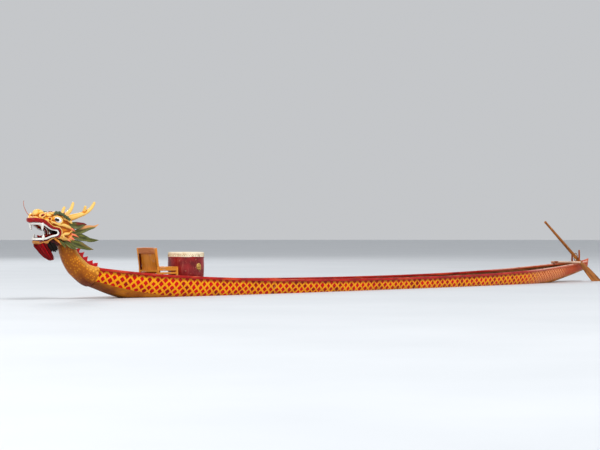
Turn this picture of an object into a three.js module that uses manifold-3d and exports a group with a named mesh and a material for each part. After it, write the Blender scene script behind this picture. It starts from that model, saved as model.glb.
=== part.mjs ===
// A racing dragon boat: planked wooden hull with thirteen benches, a carved dragon's head on a
// curved neck, the drummer's chair and drum in the bow, and a steering oar in a crutch astern.
// Millimetres. +X points to the bow, +Y to port and +Z up. The origin is amidships, on the
// centreplane, at the level of the water that the boat floats in.

import * as THREE from 'three';
import { mergeVertices } from 'three/addons/utils/BufferGeometryUtils.js';
import Module from 'manifold-3d';

const wasm = await Module();
wasm.setup();

// Driving dimensions of the hull.
// Each row is a cross section: its place, its half breadth at the rail, the height of the rail's
// top and the height of the keel's underside.
const SECTIONS = [
  { x: 6400, half: 200, rail: 470, keel: 165 },
  { x: 5900, half: 315, rail: 412, keel: 15 },
  { x: 5200, half: 420, rail: 352, keel: -110 },
  { x: 4200, half: 510, rail: 296, keel: -190 },
  { x: 2500, half: 572, rail: 236, keel: -238 },
  { x: 0, half: 590, rail: 210, keel: -250 },
  { x: -2600, half: 560, rail: 222, keel: -240 },
  { x: -4400, half: 475, rail: 265, keel: -170 },
  { x: -5600, half: 360, rail: 322, keel: -30 },
  { x: -6500, half: 225, rail: 378, keel: 120 },
  { x: -7100, half: 120, rail: 425, keel: 235 },
];
const BOW_END = SECTIONS[0].x;
const STERN_END = SECTIONS[SECTIONS.length - 1].x;
const GRID_STEPS = 26;
const GRID_SWING = 1.3;
const SIDE_FULLNESS = 0.85;
const BILGE_FULLNESS = 0.9;
const PLANK = 22;
const RAIL_HEIGHT = 42;
const RAIL_LIP = 18;
const SEAM = 0.8;
const GAP = 0.3;

// Edges of the planks round a section, in degrees from the keel up to the rail.
const KEEL_ANGLES = [0, 9];
const BOTTOM_ANGLES = [9, 20, 30, 40, 50];
const SIDE_ANGLES = [50, 60, 70, 80, 90];

// Benches and inner structure.
const BENCH_COUNT = 13;
const BENCH_PITCH = 755;
const FIRST_BENCH = 3760;
const BENCH_DEPTH = 190;
const BENCH_THICK = 28;
const BENCH_BELOW_RAIL = 80;
const SIDE_CLEARANCE = 0.8;
const RISER = { fore: 3880, aft: -5420, height: 45, thick: 28 };
const KEELSON_HALF = 60;
const TIMBER_HALF = 15;
const TIMBER_RISE = 70;
const TIMBER_END = 12;
const FLOOR_BOARD = { half: 240, thick: 15, overhang: 60 };
const END_BLOCK_LENGTH = 140;
const BOW_DECK = { fore: BOW_END - END_BLOCK_LENGTH - GAP, aft: 5950, top: 372, thick: 20 };
const DRUM_DECK = { fore: 5650, aft: 4060, top: 70, thick: 18, beams: [4150, 4800, 5500] };
const STEERING_DECK = { fore: -5620, aft: -6300, top: 150, thick: 18, beams: [-5700, -6250] };
const STERN_TIP = { x: -7290, z: 468, half: 12, thick: 14, rootHalf: 112, rootDepth: 80 };

// Neck, from inside the bow up into the head: places along the middle line.
const NECK_LINE = [
  [6300, 0, 312], [6400, 0, 332], [6555, 0, 400], [6720, 0, 500],
  [6840, 0, 635], [6900, 0, 750], [6925, 0, 900],
];
const NECK_RADIUS = 146;
const NECK_TOP = 840;
const NECK_STOPS = 14;
const CREST = { from: 0.15, to: 0.8, spikes: 6, thick: 26, inside: 100, base: 160, tip: 212 };

// Head. Each row is a section of the carving: its place, lowest and highest point, half width.
const SKULL_SECTIONS = [
  { x: 6800, low: 900, high: 1090, half: 85 },
  { x: 6870, low: 836, high: 1180, half: 135 },
  { x: 6980, low: 830, high: 1265, half: 168 },
  { x: 7080, low: 880, high: 1300, half: 172 },
  { x: 7180, low: 985, high: 1290, half: 162 },
  { x: 7280, low: 1058, high: 1262, half: 145 },
  { x: 7380, low: 1108, high: 1290, half: 132 },
  { x: 7460, low: 1130, high: 1342, half: 130 },
  { x: 7540, low: 1140, high: 1290, half: 112 },
  { x: 7585, low: 1165, high: 1235, half: 66 },
];
const JAW_SECTIONS = [
  { x: 7040, low: 872, high: 950, half: 100 },
  { x: 7200, low: 888, high: 972, half: 118 },
  { x: 7300, low: 860, high: 952, half: 116 },
  { x: 7400, low: 836, high: 932, half: 112 },
  { x: 7470, low: 846, high: 925, half: 92 },
  { x: 7505, low: 868, high: 912, half: 50 },
];
const SKULL_SIDES = 16;
const SKULL_POWER = 2.5;
const EYE = { place: [7228, 126, 1190], radius: 46 };
const BROW = {
  radius: 19,
  line: [[7300, 96, 1240], [7225, 132, 1272], [7110, 156, 1268], [7025, 158, 1225]],
};
const ANTLER_BEAM = [
  { at: [6955, 85, 1225], r: 32 }, { at: [6830, 165, 1280], r: 29 },
  { at: [6720, 200, 1340], r: 25 }, { at: [6600, 222, 1462], r: 16 },
];
const ANTLER_TINE = [{ at: [6835, 165, 1282], r: 22 }, { at: [6775, 208, 1388], r: 14 }];
const MANE_HUB = { place: [6990, 112, 1005], radius: 34 };
const MANE_TIPS = [
  { tip: [6740, 215, 1125], width: 34 },
  { tip: [6575, 285, 1125], width: 38 },
  { tip: [6570, 280, 905], width: 38 },
  { tip: [6655, 255, 765], width: 38 },
  { tip: [6925, 225, 750], width: 30 },
  { tip: [7110, 190, 780], width: 24 },
];
const MANE_THICK = 8;
const BEARD = [
  { at: [7420, 0, 862], w: 80, h: 30 }, { at: [7340, 0, 775], w: 72, h: 30 },
  { at: [7245, 0, 695], w: 58, h: 24 }, { at: [7165, 0, 630], w: 30, h: 10 },
];
const UPPER_GUM = [
  [7190, 135, 1022], [7290, 130, 1064], [7400, 123, 1112], [7490, 110, 1134], [7540, 50, 1140],
];
const LOWER_GUM = [
  [7215, 112, 968], [7300, 106, 950], [7400, 98, 929], [7452, 82, 922], [7478, 36, 918],
];
const GUM_RADIUS = 9;
const UPPER_FANG = { at: [7488, 112], root: 1136, tip: 1052, r: 13 };
const LOWER_FANG = { at: [7438, 88], root: 925, tip: 985, r: 12 };
const TONGUE = [[7130, 0, 982], [7220, 0, 974], [7320, 0, 956], [7420, 0, 938], [7462, 0, 946]];
const TONGUE_SIZE = { w: 55, h: 14 };
const WHISKER = [[7500, -88, 1222], [7550, -155, 1325], [7562, -188, 1405], [7540, -200, 1462]];
const WHISKER_RADIUS = 3;

// Drummer's chair, which faces aft, and the drum.
const CHAIR = {
  back: 5220, front: 4820, half: 200, stile: 32, seatTop: 470, seatThick: 22, top: 765, rake: 50,
  panelLow: 420, panelThick: 14, topRail: 60, stretcher: 370, stretcherHalf: 15, apron: 40,
  lowRail: 30, inset: 4, proud: 2, splice: 10,
};
const DRUM = { x: 4430, top: 697, foot: 240, end: 278, belly: 290, wall: 15, skin: 6, skirt: 76 };
const DRUM_SIDES = 28;
const DRUM_HOLLOW = 0.1;
const STAND = { reach: 175, leg: 40, rail: 38, inset: 3 };

// Steering oar, its crutch and the rope becket that ties it there.
const OAR_PIVOT = new THREE.Vector3(-6350, 310, 505);
const OAR_SLOPE = THREE.MathUtils.degToRad(33);
const CRUTCH = {
  beamHalf: 22, inboard: -275, outboard: 420, spread: 85, post: 20, innerTop: 600, outerTop: 645,
};
const BECKET = { halfWidth: 41.8, halfHeight: 78, rope: 9, sides: 8, steps: 20 };
// Stops along the oar, measured from the pivot towards the handle: half thickness, half depth.
const LOOM_STOPS = [
  { s: -150, w: 33, h: 34 }, { s: 0, w: 33, h: 33 }, { s: 500, w: 29, h: 29 },
  { s: 1270, w: 23, h: 23 }, { s: 1310, w: 25, h: 25 },
];
const BLADE_STOPS = [
  { s: -150 - GAP, w: 33, h: 34 }, { s: -350, w: 17, h: 60 }, { s: -600, w: 13, h: 88 },
  { s: -1000, w: 11, h: 106 }, { s: -1330, w: 10, h: 112 }, { s: -1370, w: 8, h: 96 },
];

// Finishes.
const finish = (color, roughness, metalness = 0) =>
  new THREE.MeshStandardMaterial({ color, roughness, metalness });
const PAINT = {
  lattice: finish(0xe8920f, 0.45),
  ochre: finish(0xa8680f, 0.5),
  red: finish(0xb52218, 0.4),
  gold: finish(0xd08a22, 0.42),
  jaw: finish(0xc8871c, 0.42),
  white: finish(0xf1ede4, 0.35),
  tongue: finish(0xb3191c, 0.4),
  antler: finish(0xe3a544, 0.5),
  leaf: finish(0x59622a, 0.5),
  beard: finish(0x7a0d0d, 0.8),
  copper: finish(0xb56a48, 0.35, 0.6),
  wood: finish(0xa86a2c, 0.6),
  darkWood: finish(0x6b4222, 0.65),
  chair: finish(0xc27a2c, 0.5),
  drum: finish(0x9c2b22, 0.45),
  skin: finish(0xe6d3a3, 0.7),
  rope: finish(0xb69a68, 0.85),
};

const boat = new THREE.Group();

function addPiece(name, geometry, material) {
  const mesh = new THREE.Mesh(geometry, material);
  mesh.name = name;
  boat.add(mesh);
}

// Closed shapes.

const vector = ([x, y, z]) => new THREE.Vector3(x, y, z);
const mirrored = ([x, y, z], side) => [x, y * side, z];

// Triangles that fill a flat ring, wound in the ring's own order.
function fillRing(ring) {
  const normal = new THREE.Vector3();
  ring.forEach((point, i) => {
    const next = ring[(i + 1) % ring.length];
    normal.add(new THREE.Vector3().crossVectors(point, next));
  });
  normal.normalize();
  const guide = Math.abs(normal.z) < 0.9 ? new THREE.Vector3(0, 0, 1) : new THREE.Vector3(1, 0, 0);
  const across = new THREE.Vector3().crossVectors(normal, guide).normalize();
  const along = new THREE.Vector3().crossVectors(normal, across);
  const flat = ring.map((point) => new THREE.Vector2(point.dot(across), point.dot(along)));
  const turn = (a, b, c) => flat[b].clone().sub(flat[a]).cross(flat[c].clone().sub(flat[a]));
  const faces = THREE.ShapeUtils.triangulateShape(flat, []);
  return faces.map(([a, b, c]) => (turn(a, b, c) < 0 ? [a, c, b] : [a, b, c]));
}

// Rings of equal length joined side by side, each four-sided patch split along its shorter
// diagonal. The ends are filled, or joined to each other.
function loft(rings, endless = false) {
  const count = rings[0].length;
  const points = rings.flat();
  const total = points.length;
  const faces = [];
  const spans = endless ? rings.length : rings.length - 1;
  for (let r = 0; r < spans; r += 1) {
    for (let i = 0; i < count; i += 1) {
      const a = r * count + i;
      const b = r * count + ((i + 1) % count);
      const c = (b + count) % total;
      const d = (a + count) % total;
      const straight = points[a].distanceTo(points[c]) <= points[b].distanceTo(points[d]);
      faces.push(...(straight ? [[a, b, c], [a, c, d]] : [[a, b, d], [b, c, d]]));
    }
  }
  if (!endless) {
    const last = total - count;
    fillRing(rings[0]).forEach(([a, b, c]) => faces.push([a, c, b]));
    fillRing(rings[rings.length - 1]).forEach((face) => faces.push(face.map((i) => i + last)));
  }
  let volume = 0;
  const normal = new THREE.Vector3();
  faces.forEach(([a, b, c]) => {
    volume += points[a].dot(normal.crossVectors(points[b], points[c]));
  });
  const outward = volume < 0 ? faces.map(([a, b, c]) => [a, c, b]) : faces;
  const geometry = new THREE.BufferGeometry();
  geometry.setAttribute('position', new THREE.Float32BufferAttribute(points.flatMap((p) => p.toArray()), 3));
  geometry.setIndex(outward.flat());
  return geometry;
}

// An oval ring about a centre. w is its half size along one direction, h along the other, and
// power is 2 for an ellipse and more for a squarer ring.
function oval(centre, wDirection, hDirection, w, h, sides, power = 2) {
  const ring = [];
  for (let i = 0; i < sides; i += 1) {
    const angle = ((i + 0.5) / sides) * 2 * Math.PI;
    const c = Math.cos(angle);
    const s = Math.sin(angle);
    const cw = Math.sign(c) * Math.abs(c) ** (2 / power) * w;
    const sh = Math.sign(s) * Math.abs(s) ** (2 / power) * h;
    ring.push(centre.clone().addScaledVector(wDirection, cw).addScaledVector(hDirection, sh));
  }
  return ring;
}

const ALONG_X = new THREE.Vector3(1, 0, 0);
const ALONG_Y = new THREE.Vector3(0, 1, 0);
const ALONG_Z = new THREE.Vector3(0, 0, 1);

// A bar along a path. Each stop has a place and two half sizes: w along the guide direction and
// h square to it. grow makes it that much larger all round.
function bar(stops, { sides = 8, grow = 0, guide = ALONG_Y } = {}) {
  const places = stops.map((stop) => (stop.at.isVector3 ? stop.at.clone() : vector(stop.at)));
  const last = places.length - 1;
  const tangents = places.map((place, i) => {
    const before = places[Math.max(i - 1, 0)];
    const after = places[Math.min(i + 1, last)];
    return after.clone().sub(before).normalize();
  });
  places[0].addScaledVector(tangents[0], -grow);
  places[last].addScaledVector(tangents[last], grow);
  return loft(places.map((place, i) => {
    const wide = guide.clone().addScaledVector(tangents[i], -guide.dot(tangents[i])).normalize();
    const high = new THREE.Vector3().crossVectors(tangents[i], wide);
    const w = (stops[i].w ?? stops[i].r) + grow;
    const h = (stops[i].h ?? stops[i].r) + grow;
    return oval(place, wide, high, w, h, sides);
  }));
}

function ball([x, y, z], radius, sides = 14) {
  return new THREE.SphereGeometry(radius, sides, Math.ceil(sides * 0.7)).translate(x, y, z);
}

function block(x0, x1, y0, y1, z0, z1) {
  const box = new THREE.BoxGeometry(x1 - x0, y1 - y0, z1 - z0);
  return box.translate((x0 + x1) / 2, (y0 + y1) / 2, (z0 + z1) / 2);
}

function toSolid(geometry) {
  const plain = geometry.clone();
  plain.deleteAttribute('normal');
  plain.deleteAttribute('uv');
  const merged = mergeVertices(plain, 1e-3);
  const vertProperties = new Float32Array(merged.attributes.position.array);
  const triVerts = new Uint32Array(merged.index.array);
  return new wasm.Manifold(new wasm.Mesh({ numProp: 3, vertProperties, triVerts }));
}

function toGeometry(solid) {
  const { vertProperties, triVerts } = solid.getMesh();
  const geometry = new THREE.BufferGeometry();
  geometry.setAttribute('position', new THREE.Float32BufferAttribute(Array.from(vertProperties), 3));
  geometry.setIndex(Array.from(triVerts));
  return geometry;
}

const join = (...parts) =>
  toGeometry(parts.map(toSolid).reduce((whole, part) => whole.add(part)));
const cut = (body, ...tools) =>
  toGeometry(tools.map(toSolid).reduce((rest, tool) => rest.subtract(tool), toSolid(body)));

// Hull surface.

// One column of the table of sections at any place, by a smooth cubic through its rows.
function lineOf(column, x) {
  const rows = [...SECTIONS].reverse();
  const last = rows.length - 1;
  let i = rows.findIndex((row, k) => k < last && x <= rows[k + 1].x);
  if (i < 0) {
    i = last - 1;
  }
  const slope = (k) => {
    const before = rows[Math.max(k - 1, 0)];
    const after = rows[Math.min(k + 1, last)];
    return (after[column] - before[column]) / (after.x - before.x);
  };
  const span = rows[i + 1].x - rows[i].x;
  const t = (x - rows[i].x) / span;
  const rise = rows[i + 1][column] - rows[i][column];
  const startBend = slope(i) * span - rise;
  const endBend = rise - slope(i + 1) * span;
  return rows[i][column] + rise * t + t * (1 - t) * (startBend * (1 - t) + endBend * t);
}

// A point of the outer skin, as [y, z]: y grows as a power of the sine of the angle and z falls
// as a power of its cosine, so the section is flat at the keel and upright at the rail.
function skin(x, degrees) {
  const angle = THREE.MathUtils.degToRad(Math.min(Math.max(degrees, 0), 90));
  const top = lineOf('rail', x) - RAIL_HEIGHT;
  const depth = top - lineOf('keel', x);
  const y = lineOf('half', x) * Math.sin(angle) ** SIDE_FULLNESS;
  const z = top - depth * Math.max(Math.cos(angle), 0) ** BILGE_FULLNESS;
  return [y, z];
}

// Direction along the skin towards the rail, with its length per degree.
function skinRun(x, degrees) {
  const step = 0.05;
  const [y0, z0] = skin(x, degrees - step);
  const [y1, z1] = skin(x, degrees + step);
  const width = Math.min(degrees + step, 90) - Math.max(degrees - step, 0);
  const length = Math.hypot(y1 - y0, z1 - z0);
  return { dy: (y1 - y0) / length, dz: (z1 - z0) / length, perDegree: length / width };
}

function innerSkin(x, degrees) {
  const [y, z] = skin(x, degrees);
  const { dy, dz } = skinRun(x, degrees);
  return [y - dz * PLANK, z + dy * PLANK];
}

// Stations along the hull, closer together towards the ends, where the planks twist most.
const GRID = Array.from({ length: GRID_STEPS + 1 }, (_, i) => {
  const swing = ((2 * i) / GRID_STEPS - 1) * GRID_SWING;
  const share = (1 + Math.sin(swing) / Math.sin(GRID_SWING)) / 2;
  return THREE.MathUtils.lerp(STERN_END, BOW_END, share);
});
const ALL_ANGLES = [...new Set([...KEEL_ANGLES, ...BOTTOM_ANGLES, ...SIDE_ANGLES])];
const INNER_GRID = GRID.map((x) => ALL_ANGLES.map((angle) => innerSkin(x, angle)));
const RAIL_GRID = GRID.map((x) => lineOf('rail', x));

// A value between two stations of the grid, on the straight line between them.
function betweenStations(x, pick) {
  const beyond = GRID.findIndex((station) => station >= x);
  const i = Math.max((beyond < 0 ? GRID_STEPS : beyond) - 1, 0);
  return THREE.MathUtils.lerp(pick(i), pick(i + 1), (x - GRID[i]) / (GRID[i + 1] - GRID[i]));
}

// Inside of the planking at any place: a list of [y, z] from the keel to the rail.
const insideAt = (x) => ALL_ANGLES.map((_, k) => [
  betweenStations(x, (i) => INNER_GRID[i][k][0]),
  betweenStations(x, (i) => INNER_GRID[i][k][1]),
]);
const insideBottom = (x) => insideAt(x)[0][1];
const railTop = (x) => betweenStations(x, (i) => RAIL_GRID[i]);

function insideHalf(x, z) {
  const points = insideAt(x);
  const k = Math.max(points.findIndex(([, height]) => height > z), 1);
  const [y0, z0] = points[k - 1];
  const [y1, z1] = points[k];
  return y0 + ((y1 - y0) * (z - z0)) / (z1 - z0);
}

const ringAt = (x, points) => points.map(([y, z]) => new THREE.Vector3(x, y, z));

// Stations of the grid between two places, with the places themselves and any others asked for.
function stationsBetween(low, high, more = []) {
  const within = GRID.filter((x) => x > low + 1 && x < high - 1);
  return [...new Set([low, ...within, ...more, high])].sort((a, b) => a - b);
}

// One plank on one side, between two angles, with a fine seam at its edges.
function plank(angles, side) {
  const last = angles.length - 1;
  return loft(GRID.map((x) => {
    const edges = angles.map((angle, k) => {
      const seam = SEAM / 2 / skinRun(x, angle).perDegree;
      if (k === 0) {
        return angle + seam;
      }
      return k === last && angle < 90 ? angle - seam : angle;
    });
    const outside = edges.map((angle) => skin(x, angle));
    const inside = edges.map((angle) => innerSkin(x, angle)).reverse();
    return ringAt(x, [...outside, ...inside].map(([y, z]) => [y * side, z]));
  }));
}

function keelPlank() {
  const edge = KEEL_ANGLES[1];
  return loft(GRID.map((x) => {
    const inner = edge - SEAM / 2 / skinRun(x, edge).perDegree;
    const [oy, oz] = skin(x, inner);
    const [iy, iz] = innerSkin(x, inner);
    return ringAt(x, [[-oy, oz], skin(x, 0), [oy, oz], [iy, iz], innerSkin(x, 0), [-iy, iz]]);
  }));
}

function gunwale(side) {
  return loft(GRID.map((x, i) => {
    const outer = lineOf('half', x) + RAIL_LIP;
    const inner = lineOf('half', x) - PLANK;
    const top = RAIL_GRID[i];
    const low = top - RAIL_HEIGHT + GAP;
    const round = RAIL_HEIGHT / 4;
    return ringAt(x, [
      [inner, low], [outer - round, low], [outer, low + round], [outer, top - round],
      [outer - round, top], [inner + round, top], [inner, top - round],
    ].map(([y, z]) => [y * side, z]));
  }));
}

// A block that fills an end of the hull inside its planking.
function endBlock(low, high) {
  return loft([low, high].map((x) => {
    const port = insideAt(x).map(([y, z]) => [Math.max(y - SEAM, 0), z]);
    port[0][1] += SEAM;
    const starboard = port.slice(1).reverse().map(([y, z]) => [-y, z]);
    return ringAt(x, [...port.slice(1), ...starboard, port[0]]);
  }));
}

addPiece('keel_plank', keelPlank(), PAINT.ochre);
[['port', 1], ['starboard', -1]].forEach(([name, side]) => {
  addPiece(`${name}_bottom_planking`, plank(BOTTOM_ANGLES, side), PAINT.ochre);
  addPiece(`${name}_side_planking`, plank(SIDE_ANGLES, side), PAINT.lattice);
  addPiece(`${name}_gunwale`, gunwale(side), PAINT.red);
});
addPiece('bow_block', endBlock(BOW_END - END_BLOCK_LENGTH, BOW_END - GAP), PAINT.ochre);
addPiece('stern_block', endBlock(STERN_END + GAP, STERN_END + END_BLOCK_LENGTH), PAINT.ochre);

// The stern ends in a small upturned tip.
function sternTip() {
  const root = STERN_END - GAP;
  const top = railTop(STERN_END);
  const middle = (root + STERN_TIP.x) / 2;
  const { thick, rootHalf, rootDepth } = STERN_TIP;
  const slab = (x, half, low, high) => (
    ringAt(x, [[-half, low], [half, low], [half, high], [-half, high]]));
  return loft([
    slab(root, rootHalf, top - rootDepth, top),
    slab(middle, (rootHalf + STERN_TIP.half) / 2, top - thick, top + thick),
    slab(STERN_TIP.x, STERN_TIP.half, STERN_TIP.z - thick, STERN_TIP.z),
  ]);
}
addPiece('stern_tip', sternTip(), PAINT.red);

// Inner structure.

const benchPlaces = Array.from({ length: BENCH_COUNT }, (_, k) => FIRST_BENCH - k * BENCH_PITCH);
const benchTop = (x) => lineOf('rail', x) - BENCH_BELOW_RAIL;

// Height of the floor boards' underside: straight between the timbers, which lie half way
// between the benches, a fixed rise above the planking.
const timberPlaces = benchPlaces.slice(1).map((x) => x + BENCH_PITCH / 2);
function floorLine(x) {
  const heights = timberPlaces.map((place) => insideBottom(place) + TIMBER_RISE);
  let k = timberPlaces.findIndex((place) => place <= x);
  k = k < 0 ? timberPlaces.length - 1 : Math.max(k, 1);
  const t = (x - timberPlaces[k]) / (timberPlaces[k - 1] - timberPlaces[k]);
  return THREE.MathUtils.lerp(heights[k], heights[k - 1], t);
}

// A keelson with floor timbers across it. Their undersides follow the planking.
function floorFrame(places, topOf) {
  const fore = Math.max(...places) + TIMBER_HALF;
  const aft = Math.min(...places) - TIMBER_HALF;
  const keelson = loft(stationsBetween(aft, fore, places).map((x) => {
    const [centre, edge] = insideAt(x);
    const half = Math.min(KEELSON_HALF, edge[0] - 2 * SEAM);
    const rise = centre[1] + ((edge[1] - centre[1]) * half) / edge[0] + SEAM;
    const foot = centre[1] + SEAM;
    const top = topOf(x);
    return ringAt(x, [[-half, rise], [0, foot], [half, rise], [half, top], [-half, top]]);
  }));
  const timbers = places.map((place) => {
    const shape = insideAt(place);
    const reach = shape.filter(([, z]) => z < topOf(place) - 2 * TIMBER_END).length;
    return loft([place - TIMBER_HALF, place, place + TIMBER_HALF].map((x) => {
      const top = topOf(x);
      const low = insideAt(x).slice(0, reach).map(([y, z]) => [y, z + 2 * SEAM]);
      const end = insideHalf(x, top - TIMBER_END) - 4 * SEAM;
      const port = [...low, [end, top - TIMBER_END], [end, top]];
      const starboard = port.slice(1).reverse().map(([y, z]) => [-y, z]);
      return ringAt(x, [...starboard, ...port]);
    }));
  });
  return join(keelson, ...timbers);
}

const underDeck = ({ top, thick }) => () => top - thick - GAP;
const deckFrame = (deck) => floorFrame(deck.beams, underDeck(deck));
addPiece('floor_frame', floorFrame(timberPlaces, (x) => floorLine(x) - GAP), PAINT.darkWood);
addPiece('drum_deck_frame', deckFrame(DRUM_DECK), PAINT.darkWood);
addPiece('steering_deck_frame', deckFrame(STEERING_DECK), PAINT.darkWood);

function floorBoards() {
  const fore = timberPlaces[0] + FLOOR_BOARD.overhang;
  const aft = timberPlaces[timberPlaces.length - 1] - FLOOR_BOARD.overhang;
  const { half, thick } = FLOOR_BOARD;
  return loft([aft, ...[...timberPlaces].reverse(), fore].map((x) => {
    const low = floorLine(x);
    return ringAt(x, [[-half, low], [half, low], [half, low + thick], [-half, low + thick]]);
  }));
}
addPiece('floor_boards', floorBoards(), PAINT.wood);

// A level board that fills the breadth between the sides.
function deckBoard({ fore, aft, top, thick }) {
  return loft(stationsBetween(aft, fore).map((x) => {
    const half = insideHalf(x, top - thick) - SIDE_CLEARANCE;
    return ringAt(x, [[-half, top - thick], [half, top - thick], [half, top], [-half, top]]);
  }));
}
addPiece('bow_deck', deckBoard(BOW_DECK), PAINT.wood);
addPiece('drum_deck', deckBoard(DRUM_DECK), PAINT.wood);
addPiece('steering_deck', deckBoard(STEERING_DECK), PAINT.wood);

// The stringer along each side that the benches rest on.
function benchRiser(side) {
  const edges = benchPlaces.flatMap((x) => [x - BENCH_DEPTH / 2, x + BENCH_DEPTH / 2]);
  return loft(stationsBetween(RISER.aft, RISER.fore, edges).map((x) => {
    const top = benchTop(x) - BENCH_THICK - GAP;
    const low = top - RISER.height;
    const upper = insideHalf(x, top) - SEAM;
    const lower = insideHalf(x, low) - SEAM;
    return ringAt(x, [
      [lower - RISER.thick, low], [lower, low], [upper, top], [lower - RISER.thick, top],
    ].map(([y, z]) => [y * side, z]));
  }));
}
addPiece('port_bench_riser', benchRiser(1), PAINT.wood);
addPiece('starboard_bench_riser', benchRiser(-1), PAINT.wood);

benchPlaces.forEach((place, k) => {
  const bench = loft([place - BENCH_DEPTH / 2, place + BENCH_DEPTH / 2].map((x) => {
    const top = benchTop(x);
    const low = top - BENCH_THICK;
    const half = insideHalf(x, low) - SIDE_CLEARANCE;
    return ringAt(x, [[-half, low], [half, low], [half, top], [-half, top]]);
  }));
  addPiece(`bench_${String(k + 1).padStart(2, '0')}`, bench, PAINT.wood);
});

// Neck and crest.

const neckCurve = new THREE.CatmullRomCurve3(NECK_LINE.map(vector));
const crestSteps = CREST.spikes * 4;

// A point of the plane of symmetry, at a distance behind the neck's middle line.
function behindNeck(u, distance) {
  const place = neckCurve.getPointAt(u);
  const along = neckCurve.getTangentAt(u);
  return new THREE.Vector2(place.x - along.z * distance, place.z + along.x * distance);
}

function neckCrest(grow = 0) {
  const more = grow / neckCurve.getLength();
  const at = (step) => THREE.MathUtils.lerp(CREST.to + more, CREST.from - more, step / crestSteps);
  const outline = [];
  for (let spike = 0; spike < CREST.spikes; spike += 1) {
    const first = spike * 4;
    outline.push(behindNeck(at(first), CREST.base + grow));
    outline.push(behindNeck(at(first + 2), CREST.base + 14 + grow));
    outline.push(behindNeck(at(first + 3.6), CREST.tip + grow));
  }
  outline.push(behindNeck(at(crestSteps), CREST.base + grow));
  for (let step = crestSteps; step >= 0; step -= 4) {
    outline.push(behindNeck(at(step), CREST.inside - grow));
  }
  const half = CREST.thick / 2 + grow;
  const face = (y) => outline.map((point) => new THREE.Vector3(point.x, y, point.y));
  return loft([face(-half), face(half)]);
}

function neck() {
  const stops = Array.from({ length: NECK_STOPS + 1 }, (_, i) => (
    { at: neckCurve.getPointAt(i / NECK_STOPS), r: NECK_RADIUS }));
  const insideBow = block(BOW_END - 400, BOW_END + GAP, -400, 400, 0, 900);
  const insideHead = block(BOW_END, BOW_END + 1000, -400, 400, NECK_TOP, NECK_TOP + 400);
  return cut(bar(stops, { sides: 20 }), insideBow, insideHead, neckCrest(GAP));
}
addPiece('dragon_neck', neck(), PAINT.gold);
addPiece('neck_crest', neckCrest(), PAINT.red);

// Head.

// A carved shape through a table of sections. grow makes it that much larger all round.
function carving(rows, grow = 0) {
  const places = rows.map((row) => row.x);
  places[0] -= grow;
  places[places.length - 1] += grow;
  return loft(rows.map((row, i) => {
    const centre = new THREE.Vector3(places[i], 0, (row.low + row.high) / 2);
    const high = (row.high - row.low) / 2 + grow;
    return oval(centre, ALONG_Y, ALONG_Z, row.half + grow, high, SKULL_SIDES, SKULL_POWER);
  }));
}
const roundBar = (line, r, side) => bar(line.map((at) => ({ at: mirrored(at, side), r })));

function antler(side, grow = 0) {
  const limb = (stops) => bar(stops.map(({ at, r }) => ({ at: mirrored(at, side), r })), { grow });
  return join(limb(ANTLER_BEAM), limb(ANTLER_TINE));
}

// A fan of leaf-shaped locks that starts at one hub inside the cheek.
function mane(side, grow = 0) {
  const hub = vector(mirrored(MANE_HUB.place, side));
  const locks = MANE_TIPS.map(({ tip, width }) => {
    const end = vector(mirrored(tip, side));
    const at = (t) => hub.clone().lerp(end, t);
    return bar([
      { at: at(0.05), w: MANE_THICK, h: width * 0.4 }, { at: at(0.45), w: MANE_THICK, h: width },
      { at: at(0.75), w: MANE_THICK * 0.8, h: width * 0.6 }, { at: at(1), w: 3, h: 4 },
    ], { grow });
  });
  return join(ball(hub.toArray(), MANE_HUB.radius + grow, 8), ...locks);
}

// A horseshoe of teeth with a fang on each side.
function teeth(line, fang, grow = 0) {
  const port = line.map((at) => ({ at, r: GUM_RADIUS }));
  const starboard = [...line].reverse().map((at) => ({ at: mirrored(at, -1), r: GUM_RADIUS }));
  const row = bar([...port, ...starboard], { sides: 6, grow, guide: ALONG_Z });
  const fangs = [1, -1].map((side) => bar([
    { at: [fang.at[0], fang.at[1] * side, fang.root], r: fang.r },
    { at: [fang.at[0], fang.at[1] * side, fang.tip], r: 3 },
  ], { grow }));
  return join(row, ...fangs);
}

const tongue = (grow = 0) =>
  bar(TONGUE.map((at) => ({ at, ...TONGUE_SIZE })), { sides: 10, grow });
const beard = (grow = 0) => bar(BEARD, { sides: 10, grow });
function whisker(grow = 0) {
  const stops = WHISKER.map((at) => ({ at, r: WHISKER_RADIUS }));
  return bar(stops, { sides: 6, grow, guide: ALONG_X });
}
const eye = (side, grow = 0) => ball(mirrored(EYE.place, side), EYE.radius + grow);
const lowerJaw = (grow = 0) => carving(JAW_SECTIONS, grow);

const neckSeat = block(BOW_END, BOW_END + 800, -400, 400, NECK_TOP - 200, NECK_TOP + GAP);
const brow = (side) => roundBar(BROW.line, BROW.radius, side);
const head = cut(
  join(carving(SKULL_SECTIONS), brow(1), brow(-1)),
  neckSeat, lowerJaw(GAP), tongue(GAP), whisker(GAP),
  teeth(UPPER_GUM, UPPER_FANG, GAP), teeth(LOWER_GUM, LOWER_FANG, GAP),
  eye(1, GAP), eye(-1, GAP), antler(1, GAP), antler(-1, GAP), mane(1, GAP), mane(-1, GAP),
);
const jaw = cut(lowerJaw(), tongue(GAP), teeth(LOWER_GUM, LOWER_FANG, GAP), beard(GAP));
addPiece('dragon_head', head, PAINT.gold);
addPiece('lower_jaw', jaw, PAINT.jaw);
addPiece('tongue', tongue(), PAINT.tongue);
addPiece('upper_teeth', teeth(UPPER_GUM, UPPER_FANG), PAINT.white);
addPiece('lower_teeth', cut(teeth(LOWER_GUM, LOWER_FANG), tongue(GAP)), PAINT.white);
addPiece('beard', beard(), PAINT.beard);
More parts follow.
